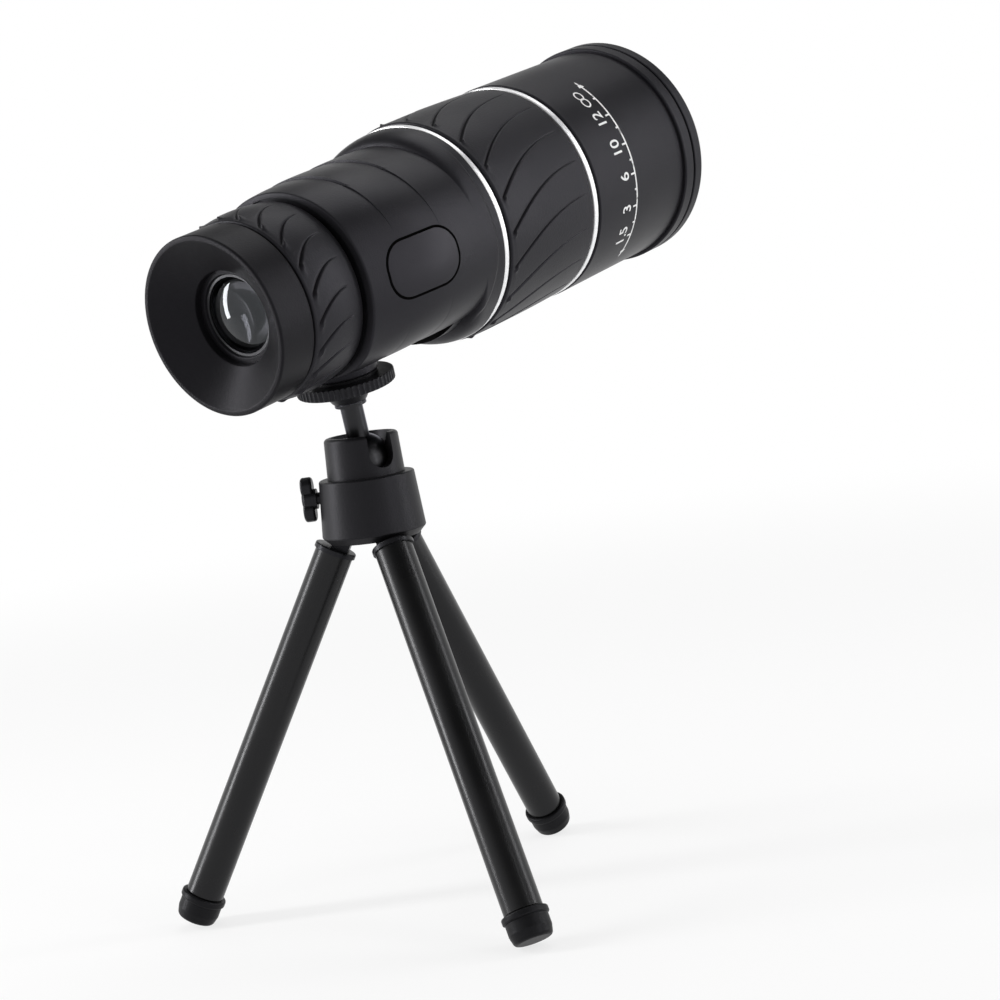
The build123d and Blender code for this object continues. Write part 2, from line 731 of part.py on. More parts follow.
def body_shell():
    """Moulded body: round cheeks, ridged thumb recesses, rear sleeve and boss."""
    shell = body_blank()
    shell -= recess(NECK_TOP_R, RIDGE_STEP)
    shell -= recess(BOSS_DROP - 3 * UNDER_STEP, UNDER_STEP).mirror(Plane.XY)
    boss = Pos(0, 0, -BOSS_DROP) * Cylinder(
        BOSS_R, BOSS_DROP - BODY_BORE_R + BOSS_SINK, align=(Align.CENTER, Align.CENTER, Align.MIN)
    )
    shell += boss
    shell -= turned(
        [
            (BODY_REAR + BODY_WALL, 0),
            (BODY_REAR + BODY_WALL, BODY_BORE_R),
            (FLANGE_SEAT, BODY_BORE_R),
            (FLANGE_SEAT, BARREL_R + SEAT),
            (BODY_FRONT + TRIM_WIDTH, BARREL_R + SEAT),
            (BODY_FRONT + TRIM_WIDTH, 0),
        ]
    )
    shell += tube(SLEEVE_REAR, BODY_REAR + BODY_WALL, SLEEVE_R, SLEEVE_BORE_R)
    rear = SLEEVE_REAR - SLEEVE_WALL
    shell -= turned([(rear, 0), (rear, SLEEVE_BORE_R), (0, SLEEVE_BORE_R), (0, 0)])
    inner_boss = Pos(0, 0, -BOSS_DROP) * Cylinder(
        BUSH_R + BUSH_WALL, BUSH_DEPTH + BUSH_WALL / 2, align=(Align.CENTER, Align.CENTER, Align.MIN)
    )
    shell += inner_boss
    hole = Pos(0, 0, -BOSS_DROP) * Cylinder(
        BUSH_R + SEAT, BUSH_DEPTH, align=(Align.CENTER, Align.CENTER, Align.MIN)
    )
    shell -= hole
    shell -= pin_path(DIOPTRE_PIN_STATION, -DIOPTRE_TRAVEL, SLEEVE_R)
    return SCOPE * (shell - badge_pocket(BADGE_BORDER))


def badge_outline(grow):
    """The badge's rounded oval, drawn on the side of the body."""
    plane = Plane(origin=(BADGE_STATION, -2 * CHEEK_R, 0), x_dir=(1, 0, 0), z_dir=(0, -1, 0))
    high = BADGE_HEIGHT + grow
    outline = RectangleRounded(BADGE_LENGTH + grow, high, high * BADGE_ROUND)
    return plane * outline


def badge_core(depth):
    """The body's side outline taken in by a depth."""
    side = [(s, r - depth) for s, r in cheek_profile()]
    curve = Spline(*side[:3], tangents=[(side[1][0] - side[0][0], side[1][1] - side[0][1]), (1, 0)])
    end = side[2][0]
    outline = [
        curve,
        Line(side[2], (end, 0)),
        Line((end, 0), (BODY_REAR, 0)),
        Line((BODY_REAR, 0), side[0]),
    ]
    return revolve(Plane.XZ * make_face(outline), Axis.X)


def badge_pocket(border):
    """Shallow pocket in the body's right side that holds the badge plate."""
    prism = extrude(badge_outline(border), amount=-2 * CHEEK_R)
    return prism - badge_core(BADGE_DEPTH + BADGE_BED)


def badge_plate():
    """Blank oval plate in the body's right side."""
    prism = extrude(badge_outline(0), amount=-2 * CHEEK_R)
    plate = (prism & badge_core(BADGE_SINK)) - badge_core(BADGE_DEPTH + BADGE_BED - SEAT)
    return SCOPE * plate


def tripod_bush():
    """Brass insert with the 1/4 inch thread."""
    low = -BOSS_DROP
    bush = turned(
        [
            (low, STUD_R + RUN),
            (low, BUSH_R),
            (low + BUSH_DEPTH, BUSH_R),
            (low + BUSH_DEPTH, 0),
            (low + BUSH_DEPTH - BUSH_CAP, 0),
            (low + BUSH_DEPTH - BUSH_CAP, STUD_R + RUN),
        ],
        upright=True,
    )
    return SCOPE * bush


def trim_ring(start, outer):
    """Polished ring between two parts of the housing."""
    ring = turned(
        [
            (start, BARREL_R + SEAT),
            (start, outer),
            (start + TRIM_WIDTH, outer),
            (start + TRIM_WIDTH, BARREL_R + SEAT),
        ]
    )
    return SCOPE * ring


def pin_path(station, travel, radius):
    """Straight slot for a drive pin that slides along the axis."""
    width = 2 * (PIN_R + RUN)
    slot = SlotCenterToCenter(abs(travel), width)
    place = Rot(-PIN_ANGLE, 0, 0) * Pos(station + travel / 2, 0, radius - SLOT_CUT)
    return place * extrude(slot, amount=2 * SLOT_CUT)


def inner_barrel():
    """Aluminium barrel: the drum turns on it and the lens cell slides in it."""
    start = FLANGE_SEAT + FLANGE_WIDTH
    barrel = tube(start, BARREL_FRONT, BARREL_R, BARREL_R - BARREL_WALL)
    return SCOPE * (barrel - pin_path(FOCUS_PIN_STATION, FOCUS_TRAVEL, BARREL_R))


def helical_slot(station, travel, turn, radius):
    """Helical slot for a drive pin: the ring turns while the pin runs by travel."""
    width = 2 * (PIN_R + RUN)
    lead = abs(travel) * 360 / abs(turn)
    helix = Helix(pitch=lead, height=abs(travel), radius=radius, lefthand=True)
    start, run = helix @ 0, helix % 0
    section = Plane(origin=start, x_dir=(1, 0, 0), z_dir=run) * Rectangle(2 * SLOT_CUT, width)
    slot = sweep(section, path=helix, is_frenet=True)
    for share in (0, 1):
        spot = helix @ share
        spin = degrees(atan2(spot.Y, spot.X))
        end = Cylinder(width / 2, 2 * SLOT_CUT, rotation=(0, 90, 0))
        slot += Rot(0, 0, spin) * Pos(radius, 0, spot.Z) * end
    return slot


def front_tube():
    """Front housing that carries the distance scale."""
    step = TUBE_REAR + TUBE_STEP_LENGTH
    floor_bore = BARREL_R - BARREL_WALL + FLOOR_LAP
    shape = turned(
        [
            (TUBE_REAR, BARREL_R + SEAT),
            (TUBE_REAR, TUBE_OUTER_R - TUBE_STEP),
            (step, TUBE_OUTER_R - TUBE_STEP),
            (step, TUBE_OUTER_R),
            (BEZEL_REAR, TUBE_OUTER_R - TUBE_TAPER),
            (BEZEL_REAR, TUBE_BORE_R + TUBE_END_WALL),
            (TUBE_FRONT - BEZEL_LIP, TUBE_BORE_R + TUBE_END_WALL),
            (TUBE_FRONT - BEZEL_LIP, TUBE_BORE_R),
            (TUBE_FLOOR, TUBE_BORE_R),
            (TUBE_FLOOR, floor_bore),
            (BARREL_FRONT, floor_bore),
            (BARREL_FRONT, BARREL_R + SEAT),
        ],
        rounds={3: TUBE_EDGE},
    )
    return SCOPE * shape


def bezel():
    """Rim of the objective: two raised beads and a groove, over the tube's end."""
    mid = (BEZEL_REAR + TUBE_FRONT) / 2
    bore = TUBE_BORE_R + TUBE_END_WALL + SEAT
    half = BEZEL_GROOVE_WIDTH / 2
    shape = turned(
        [
            (BEZEL_REAR, bore),
            (BEZEL_REAR, BEZEL_R),
            (mid - half, BEZEL_R),
            (mid - half, BEZEL_R - BEZEL_GROOVE),
            (mid + half, BEZEL_R - BEZEL_GROOVE),
            (mid + half, BEZEL_R),
            (TUBE_FRONT, BEZEL_R),
            (TUBE_FRONT, BEZEL_INNER_R),
            (TUBE_FRONT - BEZEL_LIP + SEAT, BEZEL_INNER_R),
            (TUBE_FRONT - BEZEL_LIP + SEAT, bore),
        ],
        rounds={6: BEZEL_EDGE},
    )
    return SCOPE * shape


# ================================================================ focus drive
def focus_drum():
    """Drum with the helical slot that drives the lens cell."""
    inner = BARREL_R + RUN
    drum = tube(GRIP_REAR, GRIP_FRONT, inner + DRUM_WALL, inner)
    slot = helical_slot(FOCUS_PIN_STATION, FOCUS_TRAVEL, FOCUS_TURN, inner + DRUM_WALL / 2)
    return SCOPE * (drum - cam_place(slot, FOCUS_PIN_STATION, FOCUS_TRAVEL))


def cam_place(slot, station, travel):
    """Stand a helical slot along the optical axis, its start at the pin."""
    flip = Rot(0, 90, 0) if travel > 0 else Rot(0, -90, 0)
    return Pos(station, 0, 0) * Rot(-PIN_ANGLE, 0, 0) * flip * Rot(0, 0, 180 if travel > 0 else 0) * slot


def focus_grip():
    """Rubber sleeve of the focus ring."""
    inner = GRIP_BORE_R
    low, high = GRIP_R - GRIP_CROWN, GRIP_R + GRIP_CROWN
    middle = (GRIP_REAR + GRIP_FRONT) / 2
    outline = [
        Line((GRIP_REAR, inner), (GRIP_REAR, low)),
        ThreePointArc((GRIP_REAR, low), (middle, high), (GRIP_FRONT, low)),
        Line((GRIP_FRONT, low), (GRIP_FRONT, inner)),
        Line((GRIP_FRONT, inner), (GRIP_REAR, inner)),
    ]
    return SCOPE * revolve(Plane.XZ * make_face(outline), Axis.X)


def cam_pin(station, low, high):
    """Steel drive pin, standing out of its cell."""
    pin = Cylinder(PIN_R, high - low, align=(Align.CENTER, Align.CENTER, Align.MIN))
    return Rot(-PIN_ANGLE, 0, 0) * Pos(station, 0, low) * pin


def objective_cell():
    """Cell that carries the objective and slides in the barrel."""
    outer = BARREL_R - BARREL_WALL - RUN
    inner = outer - CELL_WALL
    shape = turned(
        [
            (CELL_REAR, inner),
            (CELL_REAR, outer),
            (CELL_CUP - CELL_SHOULDER, outer),
            (CELL_CUP, CELL_CUP_R),
            (CELL_FRONT, CELL_CUP_R),
            (CELL_FRONT, LENS_R + SEAT),
            (CROWN_STATION - FLINT_EDGE, LENS_R + SEAT),
            (CROWN_STATION - FLINT_EDGE, inner),
        ]
    )
    hole = cam_pin(FOCUS_PIN_STATION, inner - GAP, outer + GAP)
    return SCOPE * (shape - hole)


def lens(front, back, radius, front_radius, back_radius):
    """A round lens between two edge stations; a positive radius bulges forwards."""
    def cap(station, curve):
        sag = abs(curve) - sqrt(curve**2 - radius**2)
        return station + (sag if curve > 0 else -sag)

    outline = [
        Line((back, radius), (front, radius)),
        ThreePointArc((front, radius), *arc_through(front, radius, front_radius)),
        Line((cap(front, front_radius), 0), (cap(back, back_radius), 0)),
        ThreePointArc((back, radius), *arc_through(back, radius, back_radius)),
    ]
    return SCOPE * revolve(Plane.XZ * make_face(outline), Axis.X)


def bulge(radius, inner, curve):
    """How far a lens surface stands out at an inner radius, beyond its edge."""
    size = abs(curve)
    return sqrt(size**2 - inner**2) - sqrt(size**2 - radius**2)


def arc_through(station, radius, curve):
    """Middle and axis points of a lens surface that starts at its edge."""
    size = abs(curve)
    side = 1 if curve > 0 else -1
    half = asin(radius / size) / 2
    edge = sqrt(size**2 - radius**2)
    middle = (station + side * (size * cos(half) - edge), size * sin(half))
    return middle, (station + side * (size - edge), 0)


def crown_lens():
    """Front element of the objective."""
    front = CROWN_STATION + CROWN_EDGE
    return lens(front, CROWN_STATION, LENS_R, CROWN_FRONT_RADIUS, -CEMENT_RADIUS)


def flint_lens():
    """Rear element of the objective, cemented to the crown."""
    rear = CROWN_STATION - FLINT_EDGE
    return lens(CROWN_STATION - SEAT, rear, LENS_R, -CEMENT_RADIUS, FLINT_REAR_RADIUS)


def objective_retainer():
    """Threaded ring that holds the objective in its cell."""
    bore = LENS_R - RETAINER_WIDTH
    start = CROWN_STATION + CROWN_EDGE + bulge(LENS_R, bore, CROWN_FRONT_RADIUS) + SEAT
    return SCOPE * tube(start, CELL_FRONT, LENS_R, bore)


def focus_pin():
    """Drive pin of the focus."""
    low = BARREL_R - BARREL_WALL - RUN - CELL_WALL
    high = BARREL_R + RUN + DRUM_WALL - RUN
    return SCOPE * cam_pin(FOCUS_PIN_STATION, low, high)


# ================================================================ eyepiece
def dioptre_ring():
    """Hard ring with the helical slot that drives the eyepiece."""
    inner = SLEEVE_R + RUN
    ring = tube(CUP_END + GAP, RING_FRONT, inner + RING_WALL, inner)
    slot = helical_slot(
        DIOPTRE_PIN_STATION, DIOPTRE_TRAVEL, DIOPTRE_TURN, inner + RING_WALL / 2
    )
    return SCOPE * (ring - cam_place(slot, DIOPTRE_PIN_STATION, -DIOPTRE_TRAVEL))


def dioptre_grip():
    """Rubber sleeve of the dioptre ring, crowned along its length."""
    inner = RING_BORE_R
    start = CUP_END + GAP
    middle = (start + RING_FRONT) / 2
    outline = [
        Line((start, inner), (start, RING_EDGE_R)),
        ThreePointArc((start, RING_EDGE_R), (middle, RING_CROWN_R), (RING_FRONT, RING_EDGE_R)),
        Line((RING_FRONT, RING_EDGE_R), (RING_FRONT, inner)),
        Line((RING_FRONT, inner), (start, inner)),
    ]
    return SCOPE * revolve(Plane.XZ * make_face(outline), Axis.X)


def eyepiece_barrel():
    """Sliding barrel that carries the eyepiece lenses."""
    outer = SLEEVE_BORE_R - RUN
    inner = outer - EYE_BARREL_WALL
    rear = CUP_END - EYE_REAR
    wall = rear + EYE_WALL
    shape = turned(
        [
            (rear, EYE_LENS_R + SEAT),
            (rear, outer),
            (EYE_BARREL_FRONT, outer),
            (EYE_BARREL_FRONT, inner),
            (wall, inner),
            (wall, EYE_LENS_R - EYE_LIP),
            (wall - EYE_LIP, EYE_LENS_R - EYE_LIP),
            (wall - EYE_LIP, EYE_LENS_R + SEAT),
        ]
    )
    hole = cam_pin(DIOPTRE_PIN_STATION, inner - GAP, outer + GAP)
    return SCOPE * (shape - hole)


def eyecup():
    """Rubber funnel round the eye lens."""
    base = CUP_END - EYE_REAR
    shape = turned(
        [
            (CUP_END, SLEEVE_BORE_R - RUN + SEAT),
            (CUP_END, CUP_R),
            (CUP_RIM, CUP_R),
            (CUP_RIM, CUP_R - CUP_WALL),
            (EYE_LENS_REAR - EYE_SEAT_EDGE, EYE_SEAT_R + EYE_SEAT_EDGE),
            (EYE_LENS_REAR, EYE_SEAT_R),
            (EYE_LENS_REAR, EYE_LENS_R + EYE_SEAT_GAP),
            (base - SEAT, EYE_LENS_R + EYE_SEAT_GAP),
            (base - SEAT, SLEEVE_BORE_R - RUN + SEAT),
        ],
        rounds={2: CUP_EDGE},
    )
    return SCOPE * shape


def eye_lens():
    """Eye lens, convex on both sides."""
    inward = FLATTER * EYE_LENS_CROWN
    stand = bulge(EYE_LENS_R, EYE_LENS_R - EYE_LIP, inward)
    front = CUP_END - EYE_REAR + EYE_WALL - EYE_LIP - stand - SEAT
    return lens(front, front - EYE_LENS_EDGE, EYE_LENS_R, inward, -EYE_LENS_CROWN)


def field_lens():
    """Field lens near the front of the eyepiece."""
    front = FIELD_LENS_STATION + FIELD_LENS_EDGE
    rearward = -FLATTER * FIELD_LENS_CROWN
    return lens(front, FIELD_LENS_STATION, FIELD_LENS_R, FIELD_LENS_CROWN, rearward)


def eyepiece_spacer():
    """Tube that sets the field lens off the rear wall, with a seat for the lens."""
    outer = SLEEVE_BORE_R - RUN - EYE_BARREL_WALL - SEAT
    start = CUP_END - EYE_REAR + EYE_WALL
    end = FIELD_LENS_STATION + FIELD_LENS_EDGE
    stand = bulge(FIELD_LENS_R, FIELD_LENS_R - EYE_LIP, FLATTER * FIELD_LENS_CROWN)
    seat = FIELD_LENS_STATION - stand - SEAT
    shape = turned(
        [
            (start, outer - SPACER_WALL),
            (start, outer),
            (end, outer),
            (end, FIELD_LENS_R + SEAT),
            (seat, FIELD_LENS_R + SEAT),
            (seat, FIELD_LENS_R - EYE_LIP),
            (seat - EYE_REAR, FIELD_LENS_R - EYE_LIP),
            (seat - EYE_REAR, outer - SPACER_WALL),
        ]
    )
    hole = cam_pin(DIOPTRE_PIN_STATION, outer - 2 * SPACER_WALL, outer + GAP)
    return SCOPE * (shape - hole)


def eyepiece_retainer():
    """Threaded ring that holds the spacer and the field lens."""
    outer = SLEEVE_BORE_R - RUN - EYE_BARREL_WALL - SEAT
    bore = FIELD_LENS_R - EYE_LIP
    stand = bulge(FIELD_LENS_R, bore, FIELD_LENS_CROWN)
    start = FIELD_LENS_STATION + FIELD_LENS_EDGE + stand + SEAT
    return SCOPE * tube(start, start + RETAINER_WIDTH, outer, bore)


def dioptre_pin():
    """Drive pin of the dioptre."""
    low = SLEEVE_BORE_R - RUN - EYE_BARREL_WALL
    high = SLEEVE_R + RING_WALL
    return SCOPE * cam_pin(DIOPTRE_PIN_STATION, low, high)


# ================================================================ prisms
def prism_outlines():
    """Side outlines of the half penta prism and the roof prism, nose to tail."""
    half = PRISM_APERTURE / 2
    foot = tan(radians(PENTA_ANGLE))
    cut = PENTA_DEPTH * PRISM_APERTURE
    penta = [
        (0, half),
        (cut, half - cut),
        (cut, -half - cut * foot),
        (0, -half),
    ]
    shift = PRISM_AIR * sqrt(2)
    top = half + PRISM_BAND
    exit_face = cut + shift + PRISM_LAND
    roof = [
        (half - top + shift, top),
        (exit_face, top + PRISM_PEAK),
        (exit_face, half - exit_face + shift),
    ]
    return penta, roof


def prism_solid(outline):
    """One glass prism of the pair."""
    face = Plane.XZ * make_face(Polyline(*outline, close=True))
    start = CAGE_REAR + CAGE_WALL + PRISM_START
    solid = Pos(start, PRISM_WIDTH / 2, 0) * extrude(face, amount=PRISM_WIDTH)
    return solid


def prism_cage():
    """Moulded cage: a box for the prisms on the flange that the barrel clamps."""
    end = FLANGE_SEAT + FLANGE_WIDTH
    box = Pos(CAGE_REAR, 0, 0) * Box(
        end - CAGE_REAR,
        2 * CAGE_HALF_WIDTH,
        2 * CAGE_HALF_HEIGHT,
        align=(Align.MIN, Align.CENTER, Align.CENTER),
    )
    pocket = Pos(CAGE_REAR + CAGE_WALL, 0, 0) * Box(
        end,
        2 * (CAGE_HALF_WIDTH - CAGE_WALL),
        2 * (CAGE_HALF_HEIGHT - CAGE_WALL),
        align=(Align.MIN, Align.CENTER, Align.CENTER),
    )
    cage = box + tube(FLANGE_SEAT, end, BARREL_R, CAGE_HALF_HEIGHT - CAGE_WALL)
    window = Cylinder(PRISM_APERTURE / 2, 4 * CAGE_WALL, rotation=(0, 90, 0))
    cage = cage - pocket - Pos(CAGE_REAR, 0, 0) * window
    open_side = Pos(CAGE_REAR + CAGE_RIB, 0, CAGE_HALF_HEIGHT) * Box(
        FLANGE_SEAT - CAGE_REAR - 2 * CAGE_RIB,
        2 * (CAGE_HALF_WIDTH - CAGE_WALL),
        4 * CAGE_WALL,
        align=(Align.MIN, Align.CENTER, Align.CENTER),
    )
    return SCOPE * (cage - open_side)


# ================================================================ build
os.makedirs("parts", exist_ok=True)

save("collar", collar())
save("leg_yoke", yoke())
save("leg_pins", leg_pins())
save("ball_socket", ball_socket())
save("ball_seat", ball_seat())
save("thumb_screw", thumb_screw())
save("thumb_tip", thumb_tip())
save("ball_stem", ball_stem())
save("mount_stud", mount_stud())
save("lock_disc", lock_disc())
save("friction_pad", friction_pad())

for name, azimuth in LEG_NAMES.items():
    place = leg_place(azimuth)
    save(name + "_leg_plug", place * leg_plug())
    save(name + "_leg_tube", place * leg_tube())
    save(name + "_leg_bush", place * leg_bush())
    save(name + "_leg_slider", place * leg_slider())
    save(name + "_foot", place * leg_foot())

save("body_shell", body_shell())
save("badge_plate", badge_plate())
save("tripod_bush", tripod_bush())
save("rear_trim_ring", trim_ring(BODY_FRONT, TRIM_R))
save("front_trim_ring", trim_ring(FRONT_TRIM, GRIP_R))
save("inner_barrel", inner_barrel())
save("front_tube", front_tube())
save("bezel", bezel())
save("focus_drum", focus_drum())
save("focus_grip", focus_grip())
save("objective_cell", objective_cell())
save("crown_lens", crown_lens())
save("flint_lens", flint_lens())
save("objective_retainer", objective_retainer())
save("focus_pin", focus_pin())
save("dioptre_ring", dioptre_ring())
save("dioptre_grip", dioptre_grip())
save("eyepiece_barrel", eyepiece_barrel())
save("eyecup", eyecup())
save("eye_lens", eye_lens())
save("field_lens", field_lens())
save("eyepiece_spacer", eyepiece_spacer())
save("eyepiece_retainer", eyepiece_retainer())
save("dioptre_pin", dioptre_pin())
save("prism_cage", prism_cage())
penta_outline, roof_outline = prism_outlines()
save("half_penta_prism", SCOPE * prism_solid(penta_outline))
save("roof_prism", SCOPE * prism_solid(roof_outline))
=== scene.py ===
import json
from math import atan2, cos, pi, radians, sin, sqrt, tan

import bmesh
import bpy
import numpy as np
from mathutils import Matrix, Vector
from mathutils.bvhtree import BVHTree


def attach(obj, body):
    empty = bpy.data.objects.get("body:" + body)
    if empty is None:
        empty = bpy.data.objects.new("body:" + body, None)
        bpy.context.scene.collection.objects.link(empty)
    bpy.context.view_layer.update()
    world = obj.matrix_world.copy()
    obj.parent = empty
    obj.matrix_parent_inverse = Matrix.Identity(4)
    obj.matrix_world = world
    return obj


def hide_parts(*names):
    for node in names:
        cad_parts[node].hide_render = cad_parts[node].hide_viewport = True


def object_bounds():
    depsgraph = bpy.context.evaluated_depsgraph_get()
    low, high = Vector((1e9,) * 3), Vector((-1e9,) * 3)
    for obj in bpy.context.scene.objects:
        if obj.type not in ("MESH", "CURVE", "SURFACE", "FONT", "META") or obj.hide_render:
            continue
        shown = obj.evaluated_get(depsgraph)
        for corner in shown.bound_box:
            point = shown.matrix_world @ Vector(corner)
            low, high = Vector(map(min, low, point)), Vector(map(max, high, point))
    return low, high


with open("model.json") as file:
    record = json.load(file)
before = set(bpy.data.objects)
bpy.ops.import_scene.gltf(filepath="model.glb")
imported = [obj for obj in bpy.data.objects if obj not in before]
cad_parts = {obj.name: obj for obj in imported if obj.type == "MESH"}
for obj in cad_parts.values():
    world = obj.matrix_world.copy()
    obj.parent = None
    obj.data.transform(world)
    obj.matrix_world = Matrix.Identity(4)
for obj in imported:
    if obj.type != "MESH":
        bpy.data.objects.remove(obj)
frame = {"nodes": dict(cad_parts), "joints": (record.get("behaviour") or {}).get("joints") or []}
cad_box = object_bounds()


# ---------------------------------------------------------------- camera
# A short telephoto lens a little above the table, looking at the eyepiece and the
# right side of the scope, turned slightly about its own axis.
CAMERA_AZIMUTH = radians(34.79)
CAMERA_HEIGHT_ANGLE = radians(6.61)
CAMERA_ROLL = radians(-8.02)
CAMERA_PLACE = Vector((0.35641, -0.45803, 0.16347))
LENS_LENGTH = 86.14
SENSOR_WIDTH = 36.0
NEAREST_SEEN = 0.01
camera_data = bpy.data.cameras.new("camera")
camera_data.lens = LENS_LENGTH
camera_data.sensor_width = SENSOR_WIDTH
camera_data.clip_start = NEAREST_SEEN
camera = bpy.data.objects.new("camera", camera_data)
bpy.context.scene.collection.objects.link(camera)
back = Vector(
    (
        sin(CAMERA_AZIMUTH) * cos(CAMERA_HEIGHT_ANGLE),
        -cos(CAMERA_AZIMUTH) * cos(CAMERA_HEIGHT_ANGLE),
        sin(CAMERA_HEIGHT_ANGLE),
    )
)
level = Vector((cos(CAMERA_AZIMUTH), sin(CAMERA_AZIMUTH), 0))
upward = back.cross(level)
camera_x = level * cos(CAMERA_ROLL) + upward * sin(CAMERA_ROLL)
camera_y = upward * cos(CAMERA_ROLL) - level * sin(CAMERA_ROLL)
turn = Matrix((camera_x, camera_y, back)).transposed().to_4x4()
camera.matrix_world = Matrix.Translation(CAMERA_PLACE) @ turn
bpy.context.scene.camera = camera


# ---------------------------------------------------------------- body shell
# The scope's main housing: one black plastic moulding with round cheeks, thumb recesses
# above and below that are stepped by ridges, a thin rear sleeve and a boss for the stud.
MM = 0.001
joint = {j["name"]: j for j in frame["joints"]}
stud_line = Vector(joint["scope_turn"]["axis"])
sight_line = Vector(joint["focus_turn"]["axis"])
stud_point = Vector(joint["scope_turn"]["pos_m"])
sight_point = Vector(joint["focus_turn"]["pos_m"])
centre = sight_point - sight_line * (sight_point - stud_point).dot(sight_line)


def place_of(origin, along, up):
    """Matrix of a local frame in millimetres: X runs along, Z points up."""
    turn = Matrix((along, up.cross(along), up)).transposed().to_4x4()
    return Matrix.Translation(origin) @ turn @ Matrix.Scale(MM, 4)


SIGHT = place_of(centre, sight_line, stud_line)


def reach(node, place):
    """A CAD node's first and last station and its largest radius about a place's X axis."""
    flat = np.empty(len(frame["nodes"][node].data.vertices) * 3)
    frame["nodes"][node].data.vertices.foreach_get("co", flat)
    turn = np.array(place.inverted())
    points = flat.reshape(-1, 3) @ turn[:3, :3].T + turn[:3, 3]
    return points[:, 0].min(), points[:, 0].max(), np.hypot(points[:, 1], points[:, 2]).max()


def around(station, radius, angle):
    """A point on the scope: the angle runs from the top towards the right side."""
    return (station, -radius * sin(angle), radius * cos(angle))


def cad_radius(node, place, stations, angle):
    """The CAD node's outer radius at several stations, seen at an angle from the top."""
    source = frame["nodes"][node].data
    tree = BVHTree.FromPolygons(
        [v.co for v in source.vertices], [p.vertices for p in source.polygons]
    )
    far = 60.0           # well outside the scope, in millimetres
    inwards = -(place.to_3x3() @ Vector(around(0, 1, angle))).normalized()
    hits = [tree.ray_cast(place @ Vector(around(s, far, angle)), inwards) for s in stations]
    return np.array([far - hit[3] / MM for hit in hits])


def closed_mesh(name, rings, place):
    """Closed mesh of rings of points in order; a ring of one point closes a pole."""
    points = [place @ Vector(p) for ring in rings for p in ring]
    starts = np.cumsum([0] + [len(ring) for ring in rings])
    faces = []
    for a in range(len(rings)):
        b = (a + 1) % len(rings)
        size = max(len(rings[a]), len(rings[b]))
        for n in range(size):
            m = (n + 1) % size
            low = [starts[a] + n, starts[a] + m] if len(rings[a]) > 1 else [starts[a]]
            high = [starts[b] + m, starts[b] + n] if len(rings[b]) > 1 else [starts[b]]
            if len(low) + len(high) > 2:
                faces.append(low + high)
    mesh = bpy.data.meshes.new(name)
    mesh.from_pydata(points, [], faces)
    outward(mesh)
    return mesh


def outward(mesh):
    """Turn a closed mesh's faces outwards."""
    shape = bmesh.new()
    shape.from_mesh(mesh)
    bmesh.ops.recalc_face_normals(shape, faces=shape.faces)
    shape.to_mesh(mesh)
    shape.free()


def piece_of(name, mesh, body, material, stands_for=(), sharp=40.0):
    """Link a finished mesh as a piece that rides on a body."""
    mesh.polygons.foreach_set("use_smooth", [True] * len(mesh.polygons))
    mesh.set_sharp_from_angle(angle=radians(sharp))
    mesh.materials.clear()
    mesh.materials.append(material)
    piece = bpy.data.objects.new(name, mesh)
    bpy.context.scene.collection.objects.link(piece)
    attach(piece, body)
    if stands_for:
        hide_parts(*stands_for)
    return piece


def value_range(tree, source, low, high, start=0.35, end=0.65):
    """A node that spreads a noise value between two numbers."""
    spread = tree.nodes.new("ShaderNodeMapRange")
    spread.inputs["From Min"].default_value = start
    spread.inputs["From Max"].default_value = end
    spread.inputs["To Min"].default_value = low
    spread.inputs["To Max"].default_value = high
    tree.links.new(source, spread.inputs["Value"])
    return spread.outputs["Result"]


def noise(tree, scale, detail=3.0):
    """A noise texture on the piece's own coordinates, which are metres."""
    where = tree.nodes.new("ShaderNodeTexCoord")
    texture = tree.nodes.new("ShaderNodeTexNoise")
    texture.inputs["Scale"].default_value = scale
    texture.inputs["Detail"].default_value = detail
    tree.links.new(where.outputs["Object"], texture.inputs["Vector"])
    return texture.outputs["Fac"]


GLOSS_DOWN = 0.04
GLOSS_UP = 0.05
GRAIN_HEIGHT = 0.0001


def finish_of(name, colour, roughness, grain, bump, metal=0.0, shine=0.5, vary=0.12, broad=38.0):
    """A finish with a fine grain, a faint drift of colour and gloss, and tinted highlights."""
    material = bpy.data.materials.new(name)
    material.use_nodes = True
    tree = material.node_tree
    shader = tree.nodes["Principled BSDF"]
    shader.inputs["Metallic"].default_value = metal
    shader.inputs["Specular IOR Level"].default_value = shine
    shader.inputs["Specular Tint"].default_value = (*[c / max(colour) for c in colour], 1)
    drift = noise(tree, broad, detail=5.0)
    mix = tree.nodes.new("ShaderNodeMix")
    mix.data_type = "RGBA"
    mix.inputs["A"].default_value = (*[c * (1 - vary) for c in colour], 1)
    mix.inputs["B"].default_value = (*[c * (1 + vary) for c in colour], 1)
    tree.links.new(value_range(tree, drift, 0, 1), mix.inputs["Factor"])
    tree.links.new(mix.outputs["Result"], shader.inputs["Base Color"])
    gloss = value_range(tree, drift, roughness - GLOSS_DOWN, roughness + GLOSS_UP)
    tree.links.new(gloss, shader.inputs["Roughness"])
    relief = tree.nodes.new("ShaderNodeBump")
    relief.inputs["Strength"].default_value = bump
    relief.inputs["Distance"].default_value = GRAIN_HEIGHT
    tree.links.new(noise(tree, grain), relief.inputs["Height"])
    tree.links.new(relief.outputs["Normal"], shader.inputs["Normal"])
    return material


moulded = finish_of("moulded_black", (0.0122, 0.0119, 0.0138), 0.40, 2600.0, 0.35, shine=0.18)

